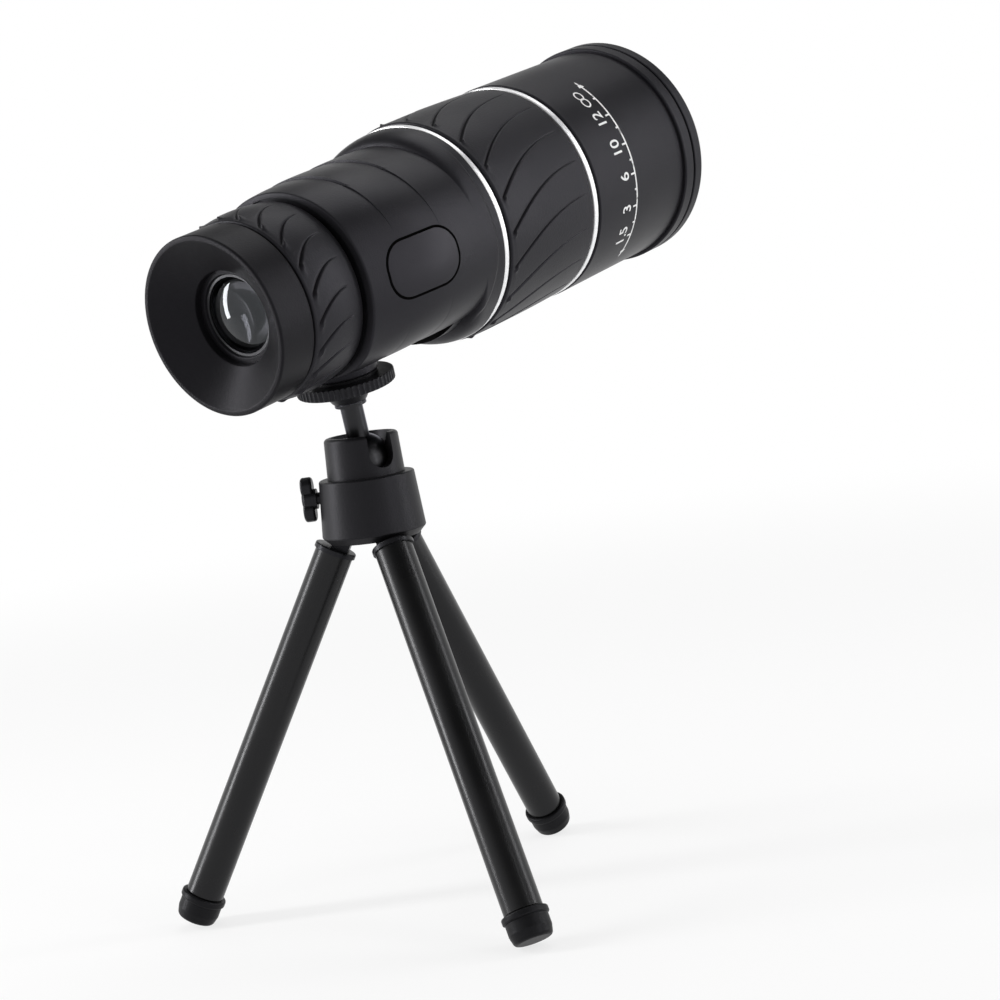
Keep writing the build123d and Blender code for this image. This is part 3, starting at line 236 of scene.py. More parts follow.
BODY_STEPS = 288         # points round the body
RUN_OUT = 2.2            # how softly the recesses run out into the cheeks
LIP_EDGE = 0.5           # rounding of the rear lip
LIP_START = 0.01         # the first ring stands this far ahead of the rear face,
FRONT_START = 0.03       # and the last one this far behind the front face
BARREL_BORE = 24.85
SLEEVE_R = 19.0
SLEEVE_BORE = 17.5
SHELL_BORE = 21.5
SHELL_STEP = 25.5        # station where the bore widens for the inner barrel
END_WALL = 2.0
BODY_REAR = -9.4
GAP_R = 22.4             # the sleeve stands in a narrow moat inside the rear lip
GAP_DEPTH = 1.4
# Each recess: the crown heights of its three ridges and of the shoulder's front, the
# station where the shoulder starts and the radius of the recess across the body.
NECK = ((23.95, 24.4, 24.75), 28.15, 28.2, 33.0)
BELLY = ((22.5, 22.55, 22.6), 28.1, 28.6, 38.0)
GROOVES = (2.1, 15.5)    # stations of the thin grooves between the ridges
SHOULDER_BULGE = 2.1     # how full the shoulder swells ahead of the last ridge
SHOULDER_FOOT = 1.42     # how softly it rises there
SHOULDER_REAR = 0.6      # closely spaced stations start this much behind it
GROOVE_HALF = 0.36
GROOVE_DEPTH = 0.55
GROOVE_REACH = radians(32)
GROOVE_FADE = radians(3)
CREST = 0.12             # how much each ridge is crowned along the scope
CREASE_STATION = 32.9    # a soft crease runs round the shoulder, close to its front
CREASE_BACK = 3.9        # how far back it swings on the underside
CREASE_DROP = 0.32
CREASE_WIDTH = 0.9
CREASE_BEND = cos(radians(95))   # it swings back below this height on a unit circle,
CREASE_SPREAD = 0.6              # over this much of the height,
CREASE_CURVE = 1.5               # slowly at first,
CREASE_END = 0.85                # and fades out towards the top and the underside
FADE_ABOVE = 0.3
FADE_BELOW = 0.2
sleeve_rear = reach("body_shell", SIGHT)[0]
body_front = reach("rear_trim_ring", SIGHT)[0]
angles = np.linspace(0, 2 * pi, BODY_STEPS, endpoint=False)
zones = [np.linspace(BODY_REAR + LIP_START, BODY_REAR + LIP_EDGE, 7)]
for low, high in zip((BODY_REAR, *GROOVES), (*GROOVES, NECK[2])):
    zones.append(np.linspace(low + 2 * LIP_EDGE, high - 2 * GROOVE_HALF, 22))
for s in GROOVES:
    zones.append(np.linspace(s - GROOVE_HALF, s + GROOVE_HALF, 11))
zones.append(np.linspace(NECK[2] - SHOULDER_REAR, body_front - FRONT_START, 50))
stations = np.unique(np.concatenate(zones))
# The cheeks follow the CAD shell, read on the left side, away from the badge.
cheek = cad_radius("body_shell", SIGHT, stations, -pi / 2)


def recess_radius(level, angle, low, crown):
    """Distance from the axis to an arc across the body whose crown stands at a level."""
    drop = crown - low
    high = drop + level
    inside = np.sqrt(np.maximum((drop * np.cos(angle)) ** 2 + high**2 - drop**2, 0))
    return inside - drop * np.cos(angle)


def soft_min(a, b, width):
    """The smaller of two values, with a rounded change-over."""
    share = np.clip((b - a) / width / 2 + 0.5, 0, 1)
    return b + (a - b) * share - width * share * (1 - share)


def crown_level(s, levels, front, start):
    """Height of a recess's crown at a station: three ridges and then the shoulder."""
    if s > start:
        share = (s - start) / (body_front - start)
        swell = (1 - (1 - share) ** SHOULDER_BULGE) ** (1 / SHOULDER_FOOT)
        return levels[2] + (front - levels[2]) * swell
    edges = (BODY_REAR, *GROOVES, start)
    ridge = sum(s > groove for groove in GROOVES)
    share = (s - edges[ridge]) / (edges[ridge + 1] - edges[ridge])
    return levels[ridge] + CREST * (1 - (2 * share - 1) ** 2)


def body_radius(s, side):
    """The body's radius all round at one station."""
    radii = np.full_like(angles, side)
    near = min(abs(s - groove) for groove in GROOVES)
    depth = GROOVE_DEPTH * max(0.0, 1 - (near / GROOVE_HALF) ** 2)
    for (levels, front, start, crown), top in ((NECK, 0.0), (BELLY, pi)):
        off = np.abs((angles - top + pi) % (2 * pi) - pi)
        arc = recess_radius(crown_level(s, levels, front, start), off, levels[0], crown)
        arc = np.where(off < pi / 2, arc, side + 2 * RUN_OUT)
        radii = np.minimum(soft_min(arc, radii, RUN_OUT), radii)
        radii = radii - depth * np.clip((GROOVE_REACH - off) / GROOVE_FADE, 0, 1)
    height = np.cos(angles)
    swing = np.clip((CREASE_BEND - height) / CREASE_SPREAD, 0, 1) ** CREASE_CURVE
    past = np.clip((s - CREASE_STATION + CREASE_BACK * swing) / CREASE_WIDTH, 0, 1)
    past *= np.clip((CREASE_END - height) / FADE_ABOVE, 0, 1)
    past *= np.clip((height + CREASE_END) / FADE_BELOW, 0, 1)
    return radii - CREASE_DROP * past * past * (3 - 2 * past)


rings = []
for s, side in zip(stations, cheek):
    fade = min((s - BODY_REAR) / LIP_EDGE, 1.0)
    radii = body_radius(s, side) - LIP_EDGE * (1 - sqrt(1 - (1 - fade) ** 2))
    rings.append([around(s, r, t) for r, t in zip(radii, angles)])
for s, r in [
    (body_front, BARREL_BORE),
    (SHELL_STEP, BARREL_BORE),
    (SHELL_STEP, SHELL_BORE),
    (BODY_REAR + END_WALL, SHELL_BORE),
    (BODY_REAR + END_WALL, SLEEVE_BORE),
    (sleeve_rear, SLEEVE_BORE),
    (sleeve_rear, SLEEVE_R),
    (BODY_REAR + GAP_DEPTH, SLEEVE_R),
    (BODY_REAR + GAP_DEPTH, GAP_R),
    (BODY_REAR, GAP_R),
]:
    rings.append([around(s, r, t) for t in angles])
piece_of(
    "body_shell_moulding",
    closed_mesh("body_shell_moulding", rings, SIGHT),
    "scope",
    moulded,
    ["body_shell"],
)


def rounded(outline, steps=5):
    """Outline with each corner that names a radius turned into an arc."""
    count = len(outline)
    points = []
    for n, corner in enumerate(outline):
        here = Vector(corner[:2])
        if len(corner) < 3:
            points.append(here)
            continue
        before = (Vector(outline[n - 1][:2]) - here).normalized()
        after = (Vector(outline[(n + 1) % count][:2]) - here).normalized()
        half = before.angle(after) / 2
        middle = here + (before + after).normalized() * corner[2] / sin(half)
        start = here + before * corner[2] / tan(half) - middle
        end = here + after * corner[2] / tan(half) - middle
        sweep = pi - 2 * half
        for k in range(steps + 1):
            share = k / steps
            arm = start * sin((1 - share) * sweep) + end * sin(share * sweep)
            points.append(middle + arm / sin(sweep))
    return points


def held(points, room=0.08):
    """The outline with a point close to each end of its long runs, which keeps them flat."""
    result = []
    for n, here in enumerate(points):
        there = points[(n + 1) % len(points)]
        result.append(here)
        run = there - here
        if run.length > 8 * room:
            result.append(here + run.normalized() * room)
            result.append(there - run.normalized() * room)
    return result


def turned(outline, name, place, steps=144):
    """Closed mesh of an outline of (station, radius, rounding) turned about the X axis."""
    circle = np.linspace(0, 2 * pi, steps, endpoint=False)
    rings = []
    for s, r in held(rounded(outline)):
        on_axis = abs(r) < 1e-6
        rings.append([(s, 0, 0)] if on_axis else [around(s, r, t) for t in circle])
    return closed_mesh(name, rings, place)


BOSS_R = 8.5
BOSS_EDGE = 0.5
BOSS_TOP = -20.3         # inside the wall, where the round skin rises beside it
PAD_GAP = 0.05
stud_frame = place_of(centre, stud_line, -sight_line)
pad_top = reach("friction_pad", stud_frame)[1]
boss = turned(
    [
        (pad_top + PAD_GAP, 0),
        (pad_top + PAD_GAP, BOSS_R, BOSS_EDGE),
        (BOSS_TOP, BOSS_R),
        (BOSS_TOP, 0),
    ],
    "stud_boss",
    stud_frame,
    steps=64,
)
piece_of("stud_boss", boss, "scope", moulded)


# ---------------------------------------------------------------- badge plate
# A blank oval plate of smoother plastic, glued in a shallow pocket on the right side,
# with a thin near-black line all round it, a painted shadow of the narrow groove at its edge.
satin = finish_of("badge_black", (0.0126, 0.0122, 0.0142), 0.38, 3200.0, 0.12, shine=0.21)
# Near-black and matte, with no shine: painted shadow for the groove round the badge.
groove_shadow = finish_of("shadow_line", (0.002, 0.002, 0.002), 0.9, 1500.0, 0.1, shine=0.0)
BADGE_STATION = 7.65
BADGE_TURN = radians(-2.2)
BADGE_HALF_LENGTH = 11.0
BADGE_HALF_HEIGHT = 6.85
BADGE_CORNER = 6.1
BADGE_RISE = 0.06
BADGE_ROUNDING = 0.3
BADGE_FLATNESS = 0.6     # the rounding is this much lower than it is wide
BADGE_DOME = 0.02        # rise for each millimetre further in
DOME_RINGS = (1.5, 3.0, 4.5, 6.0)
BED = 0.4                # both patches start this deep under the cheek
LINE_WIDTH = 0.5
LINE_RISE = 0.03
LINE_LAP = 0.2           # the line runs on this far under the plate


def cheek_at(station):
    """The cheek's radius at a station."""
    return float(np.interp(station, stations, cheek))


def oval(grow, count=120):
    """Evenly spaced points of the badge's rounded outline, grown by a distance."""
    radius = BADGE_CORNER + grow
    long = BADGE_HALF_LENGTH - BADGE_CORNER
    high = BADGE_HALF_HEIGHT - BADGE_CORNER
    # Half the outline: a corner's arc, a long side, an arc and a short side. All of it is
    # eight such runs.
    runs = [radius * pi / 2, 2 * long, radius * pi / 2, 2 * high]
    points = []
    for n in range(count):
        left = n / count * 2 * sum(runs)
        run = 0
        while run < 7 and left > runs[run % 4]:
            left -= runs[run % 4]
            run += 1
        corner = run // 2
        x = long if corner in (0, 3) else -long
        y = high if corner in (0, 1) else -high
        if run % 2:
            t = (corner + 1) * pi / 2
            x += left * cos(t + pi / 2)
            y += left * sin(t + pi / 2)
        else:
            t = corner * pi / 2 + left / radius
        points.append((x + radius * cos(t), y + radius * sin(t)))
    return points


def on_cheek(x, y, rise):
    """A point over the right cheek: x along the scope, y downwards along its girth."""
    station = BADGE_STATION + x
    radius = cheek_at(station) + rise
    return around(station, radius, pi / 2 + BADGE_TURN + y / cheek_at(station))


def patch(name, layers, body, material, stands_for=()):
    """Closed raised patch on the cheek from (growth, rise) layers, outermost first."""
    rings = [[on_cheek(x, y, rise) for x, y in oval(grow)] for grow, rise in layers]
    below = [on_cheek(0, 0, layers[0][1])]
    above = [on_cheek(0, 0, layers[-1][1])]
    mesh = closed_mesh(name, [below, *rings, above], SIGHT)
    piece_of(name, mesh, body, material, stands_for)


# A near-black strip just proud of the cheek round the plate: painted shadow of the groove at its
# edge.
patch(
    "badge_groove_shadow",
    [(LINE_WIDTH, -BED), (LINE_WIDTH, LINE_RISE), (-LINE_LAP, LINE_RISE)],
    "scope",
    groove_shadow,
)
layers = [(0, -BED)]
for t in np.linspace(0, pi / 2, 6):
    low = BADGE_ROUNDING * BADGE_FLATNESS * (1 - sin(t))
    layers.append((-BADGE_ROUNDING * (1 - cos(t)), BADGE_RISE - low))
layers += [(-inside, BADGE_RISE + BADGE_DOME * inside) for inside in DOME_RINGS]
patch("badge_blank", layers, "scope", satin, ["badge_plate"])


# ---------------------------------------------------------------- trim rings
# Two narrow rings of polished aluminium, one behind the focus ring and one ahead of it,
# clamped between the housings, with softened corners that carry the brightest lights.
polished = finish_of("polished_ring", (0.92, 0.92, 0.93), 0.3, 700.0, 0.04, metal=0.6, vary=0.02)
RING_EDGE = 0.35
RING_STEPS = 192
for name in ("rear_trim_ring", "front_trim_ring"):
    start, end, outer = reach(name, SIGHT)
    ring = turned(
        [
            (start, BARREL_BORE),
            (start, outer, RING_EDGE),
            (end, outer, RING_EDGE),
            (end, BARREL_BORE),
        ],
        name + "_polished",
        SIGHT,
        RING_STEPS,
    )
    piece_of(name + "_polished", ring, "scope", polished, [name])


# ---------------------------------------------------------------- focus ring grip
# A moulded rubber sleeve pushed over the focus drum. Curved treads run forwards all round it:
# each is a groove that starts deep beside a small nub and fades, with a soft lip beside it.
rubber = finish_of("ring_rubber", (0.0130, 0.0127, 0.0146), 0.44, 1900.0, 0.5, shine=0.2)
TREADS = 20
SEAM_REACH = 0.002       # millimetres within which neighbouring sectors are welded


def copies_around(name, sector, count, material):
    """Mesh of one sector repeated about the X axis, made by Geometry Nodes."""
    tree = bpy.data.node_groups.new(name + "_repeat", "GeometryNodeTree")
    face = tree.interface
    face.new_socket("Sector", in_out="INPUT", socket_type="NodeSocketGeometry")
    copies = face.new_socket("Copies", in_out="INPUT", socket_type="NodeSocketInt")
    seam = face.new_socket("Seam", in_out="INPUT", socket_type="NodeSocketFloat")
    finish = face.new_socket("Finish", in_out="INPUT", socket_type="NodeSocketMaterial")
    face.new_socket("Ring", in_out="OUTPUT", socket_type="NodeSocketGeometry")
    new = tree.nodes.new
    link = tree.links.new
    given = new("NodeGroupInput")
    made = new("NodeGroupOutput")
    points = new("GeometryNodePoints")
    index = new("GeometryNodeInputIndex")
    share = new("ShaderNodeMath")
    share.operation = "DIVIDE"
    angle = new("ShaderNodeMath")
    angle.operation = "MULTIPLY"
    angle.inputs[1].default_value = 2 * pi
    turn = new("ShaderNodeCombineXYZ")
    spin = new("FunctionNodeEulerToRotation")
    place = new("GeometryNodeInstanceOnPoints")
    real = new("GeometryNodeRealizeInstances")
    weld = new("GeometryNodeMergeByDistance")
    paint = new("GeometryNodeSetMaterial")
    link(given.outputs["Copies"], points.inputs["Count"])
    link(index.outputs[0], share.inputs[0])
    link(given.outputs["Copies"], share.inputs[1])
    link(share.outputs[0], angle.inputs[0])
    link(angle.outputs[0], turn.inputs["X"])
    link(turn.outputs[0], spin.inputs[0])
    link(points.outputs[0], place.inputs["Points"])
    link(given.outputs["Sector"], place.inputs["Instance"])
    link(spin.outputs[0], place.inputs["Rotation"])
    link(place.outputs[0], real.inputs[0])
    link(real.outputs[0], weld.inputs["Geometry"])
    link(given.outputs["Seam"], weld.inputs["Distance"])
    link(weld.outputs[0], paint.inputs["Geometry"])
    link(given.outputs["Finish"], paint.inputs["Material"])
    link(paint.outputs[0], made.inputs[0])
    source = bpy.data.objects.new(name, sector)
    bpy.context.scene.collection.objects.link(source)
    ring = source.modifiers.new("repeat", "NODES")
    ring.node_group = tree
    ring[copies.identifier] = count
    ring[seam.identifier] = SEAM_REACH
    ring[finish.identifier] = material
    seen = source.evaluated_get(bpy.context.evaluated_depsgraph_get())
    mesh = bpy.data.meshes.new_from_object(seen)
    mesh.name = name
    bpy.data.objects.remove(source)
    return mesh


def sector_mesh(name, rows):
    """Mesh of one sector from its closed loop of rows, open at its two sides."""
    points = [point for row in rows for point in row]
    wide = len(rows[0])
    faces = []
    for a in range(len(rows)):
        b = (a + 1) % len(rows)
        for n in range(wide - 1):
            faces.append((a * wide + n, a * wide + n + 1, b * wide + n + 1, b * wide + n))
    mesh = bpy.data.meshes.new(name)
    mesh.from_pydata(points, [], faces)
    return mesh


def step(value, low, high):
    """Smooth change from 0 to 1 between two values."""
    share = min(max((value - low) / (high - low), 0.0), 1.0)
    return share * share * (3 - 2 * share)


TREAD_EDGE = 0.5         # rounding of the sleeve's two ends
GROOVE_WIDTH = 0.27      # at a groove's rear end,
GROOVE_THINS = 0.12      # and this much less at its front
GROOVE_SHALLOWS = 0.75   # share of its depth that it loses on the way
GROOVE_OPENS = 0.5       # it starts to open this far behind its rear point,
GROOVE_FULL = 0.7        # is at full depth this far ahead of it,
GROOVE_TAIL = 2.5        # and runs out over this length at its front
HEAD = 2.0               # stations stand closer together up to here
SWEEP_PAST = 1.2         # behind its start a tread goes on sweeping up to this share
LIP_FALL = 2.6
NUB_HEIGHT = 0.45
NUB_START = 0.6          # along the scope from the groove's rear end, and its length
NUB_SIDE = 0.55          # across from the groove
NUB_WIDTH = 0.5
# Places across one tread, from groove to groove, close together beside the grooves.
COLUMNS = (0, 0.01, 0.02, 0.03, 0.042, 0.06, 0.08, 0.11, 0.15, 0.22, 0.34, 0.5)
COLUMNS += (0.66, 0.8, 0.89, 0.94, 0.958, 0.97, 0.98, 0.99, 1)


def tread_rows(start, end, crown, inner, first, last, sweep, bend, depth, lip, phase=0.0):
    """Rows of one tread's sector: its groove sweeps back as a power curve from last to first."""
    rows = []
    pitch = 2 * pi / TREADS
    turn_in = TREAD_EDGE * (1 - np.cos(np.linspace(0, pi / 2, 6)))
    head = np.linspace(start + TREAD_EDGE, first + HEAD, 22)
    tail = np.linspace(first + HEAD, end - TREAD_EDGE, 50)
    for s in (*(start + turn_in), *head[1:], *tail[1:], *(end - turn_in[-2::-1])):
        share = min(max((last - s) / (last - first), 0.0), SWEEP_PAST)
        lead = sweep * share**bend
        slant = sweep * bend * share ** (bend - 1) / (last - first)
        near = cos(atan2(slant * crown(s), 1.0))
        power = step(s, first - GROOVE_OPENS, first + GROOVE_FULL)
        power *= 1 - GROOVE_SHALLOWS * step(s, first, last)
        power *= 1 - step(s, last - GROOVE_TAIL, last)
        width = GROOVE_WIDTH - GROOVE_THINS * step(s, first, last)
        from_end = max(TREAD_EDGE - (s - start), TREAD_EDGE - (end - s), 0)
        drop = TREAD_EDGE - sqrt(max(TREAD_EDGE**2 - from_end**2, 0))
        nub = NUB_HEIGHT * np.exp(-(((s - first - NUB_START) / NUB_START) ** 2))
        row = []
        for u in COLUMNS:
            radius = crown(s) - drop
            for side in (u, u - 1):
                away = side * pitch * crown(s) * near
                dip = np.exp(-((away / width) ** 2))
                radius -= depth * power * dip
                if away >= 0:
                    radius += lip * power * (1 - dip) * np.exp(-away / LIP_FALL)
                radius += nub * np.exp(-(((away - NUB_SIDE) / NUB_WIDTH) ** 2))
            row.append(around(s, radius, lead + (u + phase) * pitch))
        rows.append(row)
    rear_lead = sweep * min((last - start) / (last - first), SWEEP_PAST) ** bend
    for share in np.linspace(0, 1, 8):
        s = end + (start - end) * share
        lead = rear_lead * share
        rows.append([around(s, inner, lead + (u + phase) * pitch) for u in COLUMNS])
    return rows


DRUM_R = 26.2
GRIP_CROWN = 0.15
start, end, outer = reach("focus_grip", SIGHT)


def focus_crown(s):
    """The focus grip's radius, slightly fuller at mid length."""
    share = (s - start) / (end - start)
    return outer - GRIP_CROWN * 2 * (2 * share - 1) ** 2


rows = tread_rows(
    start,
    end,
    focus_crown,
    DRUM_R,
    first=start + 1.3,
    last=end - 1.6,
    sweep=radians(21),
    bend=2.2,
    depth=0.6,
    lip=0.14,
)
sector = sector_mesh("focus_tread", rows)
mesh = copies_around("focus_grip_treads", sector, TREADS, rubber)
mesh.transform(SIGHT)
outward(mesh)
piece_of("focus_grip_treads", mesh, "focus", rubber, ["focus_grip"], sharp=60)


# ---------------------------------------------------------------- front tube
# The plastic front housing: a plain, slightly tapered tube with a step behind it for the
# trim ring, and a printed distance scale in white ink on its right side.
start, end, outer = reach("front_tube", SIGHT)
bezel_start, bezel_end, bezel_r = reach("bezel", SIGHT)
TUBE_BORE = 26.95
TUBE_WALL = 0.8
TUBE_STEP = 1.0
TUBE_STEP_LENGTH = 0.6
TUBE_EDGE = 0.4
TUBE_TAPER = 0.2
TUBE_FLOOR = 79.5        # station of the flange that sits on the inner barrel
FLANGE = 1.0
BEZEL_LIP = 2.0
front_r = outer - TUBE_TAPER
mesh = turned(
    [
        (start, BARREL_BORE),
        (start, outer - TUBE_STEP),
        (start + TUBE_STEP_LENGTH, outer - TUBE_STEP),
        (start + TUBE_STEP_LENGTH, outer, TUBE_EDGE),
        (bezel_start, front_r),
        (bezel_start, TUBE_BORE + TUBE_WALL),
        (bezel_end - BEZEL_LIP, TUBE_BORE + TUBE_WALL),
        (bezel_end - BEZEL_LIP, TUBE_BORE),
        (TUBE_FLOOR, TUBE_BORE),
        (TUBE_FLOOR, BARREL_BORE - FLANGE),
    ],
    "front_tube_housing",
    SIGHT,
    RING_STEPS,
)
piece_of("front_tube_housing", mesh, "scope", moulded, ["front_tube"])


# ---------------------------------------------------------------- printed distance scale
# White ink printed on the front tube: a line with an arrowhead at each end, ticks on its
# rear side and plain distances in metres, from the closest up to infinity. Places round
# the tube are in degrees from the top.
INK_RISE = 0.03
SCALE_STATION = 91.2
SCALE_WIDTH = 0.5
SCALE_FROM = 32.2
SCALE_TO = 140.5
LONG_TICK = 1.7
SHORT_TICK = 0.9
LONG_TICKS = (57.3, 74.5, 90.5, 107.7, 124.8)
SHORT_TICKS = (46.1, 65.3, 83.3, 98.9, 117.2)
DISTANCES = ((58.1, "12"), (75.0, "10"), (90.4, "6"), (107.5, "3"), (123.5, "1.5"))
INFINITY_AT = 43.8
DIGIT_HEIGHT = 3.5
DIGIT_STATION = 86.9
DIGIT_SHARE = 0.72       # a digit's height as a share of its type size
DIGIT_WEIGHT = 0.05
ARROW_LENGTH = 4.5       # degrees
ARROW_HALF = 1.0
LOOP = 1.25              # half height of the infinity sign
LOOP_MIDDLE = 1.05       # where each of its loops is centred,
LOOP_LONG = 1.14         # and how long it is, in half heights
LOOP_LINE = 0.42
ink = finish_of("white_ink", (0.8, 0.8, 0.8), 0.5, 4000.0, 0.1, vary=0.06, broad=400.0)


def tube_radius(s):
    """The front tube's outer radius at a station."""
    return outer - TUBE_TAPER * (s - start) / (bezel_start - start)


def ink_prism(outline):
    """Points and faces of a thin closed print from an outline of (station, degrees)."""
    low = [around(s, tube_radius(s) - INK_RISE, radians(t)) for s, t in outline]
    high = [around(s, tube_radius(s) + INK_RISE, radians(t)) for s, t in outline]
    count = len(outline)
    faces = [list(range(count))[::-1], list(range(count, 2 * count))]
    faces += [[n, (n + 1) % count, count + (n + 1) % count, count + n] for n in range(count)]
    return low + high, faces


def ink_strip(line, width):
    """Prints a strip of a width along a line of (station, degrees)."""
    prints = []
    for (s0, t0), (s1, t1) in zip(line, line[1:]):
        along = Vector((s1 - s0, radians(t1 - t0) * outer)).normalized() * width / 2
        ds, dt = -along.y, np.degrees(along.x / outer)
        one_side = [(s0 + ds, t0 + dt), (s1 + ds, t1 + dt)]
        prints.append(one_side + [(s1 - ds, t1 - dt), (s0 - ds, t0 - dt)])
    return prints


prints = []
sweep = np.linspace(SCALE_FROM, SCALE_TO, 73)
prints += ink_strip([(SCALE_STATION, t) for t in sweep], SCALE_WIDTH)
for t in LONG_TICKS:
    prints += ink_strip([(SCALE_STATION, t), (SCALE_STATION - LONG_TICK, t)], SCALE_WIDTH)
for t in SHORT_TICKS:
    prints += ink_strip([(SCALE_STATION, t), (SCALE_STATION - SHORT_TICK, t)], SCALE_WIDTH)
for tip, side in ((SCALE_FROM, -1), (SCALE_TO, 1)):
    foot = tip - side * ARROW_LENGTH
    corners = [(SCALE_STATION - ARROW_HALF, foot), (SCALE_STATION, tip + side)]
    prints.append(corners + [(SCALE_STATION + ARROW_HALF, foot)])
for side in (-1, 1):
    loop = []
    for t in np.linspace(0, 2 * pi, 25):
        s = DIGIT_STATION + LOOP * sin(t)
        arc = side * LOOP * (LOOP_MIDDLE + LOOP_LONG * cos(t))
        loop.append((s, INFINITY_AT + np.degrees(arc / outer)))
    prints += ink_strip(loop, LOOP_LINE)
points, faces = [], []
for outline in prints:
    spots, sides = ink_prism(outline)
    faces += [[len(points) + n for n in face] for face in sides]
    points += spots
for t, word in DISTANCES:
    text = bpy.data.curves.new("distance_" + word, "FONT")
    text.body = word
    text.size = DIGIT_HEIGHT / DIGIT_SHARE
    text.align_x = "CENTER"
    text.align_y = "CENTER"
    text.extrude = INK_RISE
    text.offset = DIGIT_WEIGHT
    text.resolution_u = 4
    holder = bpy.data.objects.new(text.name, text)
    bpy.context.scene.collection.objects.link(holder)
    seen = holder.evaluated_get(bpy.context.evaluated_depsgraph_get())
    flat = bpy.data.meshes.new_from_object(seen)
    base = len(points)
    for v in flat.vertices:
        s = DIGIT_STATION - v.co.y
        points.append(around(s, tube_radius(s) + v.co.z, radians(t) - v.co.x / outer))
    faces += [[base + n for n in p.vertices] for p in flat.polygons]
    bpy.data.objects.remove(holder)
    bpy.data.meshes.remove(flat)
mesh = bpy.data.meshes.new("distance_scale")
mesh.from_pydata([SIGHT @ Vector(p) for p in points], [], faces)
shape = bmesh.new()
shape.from_mesh(mesh)
bmesh.ops.remove_doubles(shape, verts=shape.verts, dist=1e-7)
bmesh.ops.recalc_face_normals(shape, faces=shape.faces)
shape.to_mesh(mesh)
shape.free()
piece_of("distance_scale", mesh, "scope", ink, sharp=20)


# ---------------------------------------------------------------- objective bezel
# A black plastic rim screwed over the front tube's end: two raised beads with a groove
# between them and a rounded lip at the mouth.
THREAD_GAP = 0.02
BEZEL_BORE = TUBE_BORE + TUBE_WALL + THREAD_GAP
BEZEL_INNER = 25.6
BEAD_DIP = 0.55
BEAD_EDGE = 0.45
BEAD_INNER_EDGE = 0.315
BEAD_GROOVE = 0.35       # half its width
MOUTH_EDGE = 1.0
MOUTH_INNER_EDGE = 0.6
bezel_mid = (bezel_start + bezel_end) / 2
mesh = turned(
    [
        (bezel_start, BEZEL_BORE),
        (bezel_start, bezel_r, BEAD_EDGE),
        (bezel_mid - BEAD_GROOVE, bezel_r, BEAD_INNER_EDGE),
        (bezel_mid - BEAD_GROOVE, bezel_r - BEAD_DIP),
        (bezel_mid + BEAD_GROOVE, bezel_r - BEAD_DIP),
        (bezel_mid + BEAD_GROOVE, bezel_r, BEAD_INNER_EDGE),
        (bezel_end, bezel_r, MOUTH_EDGE),
        (bezel_end, BEZEL_INNER, MOUTH_INNER_EDGE),
        (bezel_end - BEZEL_LIP + THREAD_GAP, BEZEL_INNER),
        (bezel_end - BEZEL_LIP + THREAD_GAP, BEZEL_BORE),
    ],
    "bezel_rim",
    SIGHT,
    RING_STEPS,
)
piece_of("bezel_rim", mesh, "scope", moulded, ["bezel"])


# ---------------------------------------------------------------- lenses
# Ground and coated glass: a cemented doublet in the focusing cell at the front, and a field
# lens and an eye lens in the eyepiece barrel, each held in its seat by a threaded ring.
GLASS_BENDING = 1.52     # refractive index
GLASS_CLOUDS = 20.0      # size of the faint smears, as a noise scale
GLASS_HAZE = 0.004       # roughness where a smear is strongest


def glass_of(name, tint, coat):
    """Glass whose colour tints what passes through it and whose coating tints what it mirrors.
    """
    material = bpy.data.materials.new(name)
    material.use_nodes = True
    tree = material.node_tree
    shader = tree.nodes["Principled BSDF"]
    shader.inputs["Base Color"].default_value = (*tint, 1)
    shader.inputs["Transmission Weight"].default_value = 1.0
    shader.inputs["IOR"].default_value = GLASS_BENDING
    shader.inputs["Specular Tint"].default_value = (*coat, 1)
    gloss = value_range(tree, noise(tree, GLASS_CLOUDS, detail=1.0), 0.0, GLASS_HAZE)
    tree.links.new(gloss, shader.inputs["Roughness"])
    return material


front_glass = glass_of("front_glass", (0.9, 0.97, 0.95), (0.55, 0.9, 0.6))
# The eyepiece glass is tinted almost black: painted shade that stands for the dark inside of the
# scope seen through the eye lens.
eye_glass = glass_of("eye_glass", (0.08, 0.08, 0.09), (0.9, 0.95, 1.0))
RIM_SLACK = 0.01         # points this close to the rim's radius belong to it
FLAT = 0.01              # a face that rises less than this is flat


def lens_rings(node, steps=96, rows=26):
    """Rings of a lens with two round faces, worked out from its CAD node."""
    source = frame["nodes"][node].data
    tree = BVHTree.FromPolygons(
        [v.co for v in source.vertices], [p.vertices for p in source.polygons]
    )
    turn = np.array(SIGHT.inverted())
    points = np.array([v.co for v in source.vertices]) @ turn[:3, :3].T + turn[:3, 3]
    spread = np.hypot(points[:, 1], points[:, 2])
    outer = spread.max()
    rim = points[spread > outer - RIM_SLACK, 0]
    circle = np.linspace(0, 2 * pi, steps, endpoint=False)
    radii = outer * np.sin(np.linspace(0, pi / 2, rows))
    faces = []
    for edge, way in ((rim.min(), 1), (rim.max(), -1)):
        outside = SIGHT @ Vector((edge - way * outer, 0, 0))
        inwards = SIGHT.to_3x3() @ Vector((way, 0, 0))
        hit = tree.ray_cast(outside, inwards.normalized())[0]
        pole = (SIGHT.inverted() @ hit).x
        sag = edge - pole
        if abs(sag) < FLAT:
            levels = np.full_like(radii, edge)
        else:
            curve = (sag**2 + outer**2) / 2 / abs(sag)
            levels = pole + np.sign(sag) * (curve - np.sqrt(curve**2 - radii**2))
        rings = [[(levels[0], 0, 0)]]
        for s, r in zip(levels[1:], radii[1:]):
            rings.append([around(s, r, t) for t in circle])
        faces.append(rings)
    return faces[0] + faces[1][::-1]


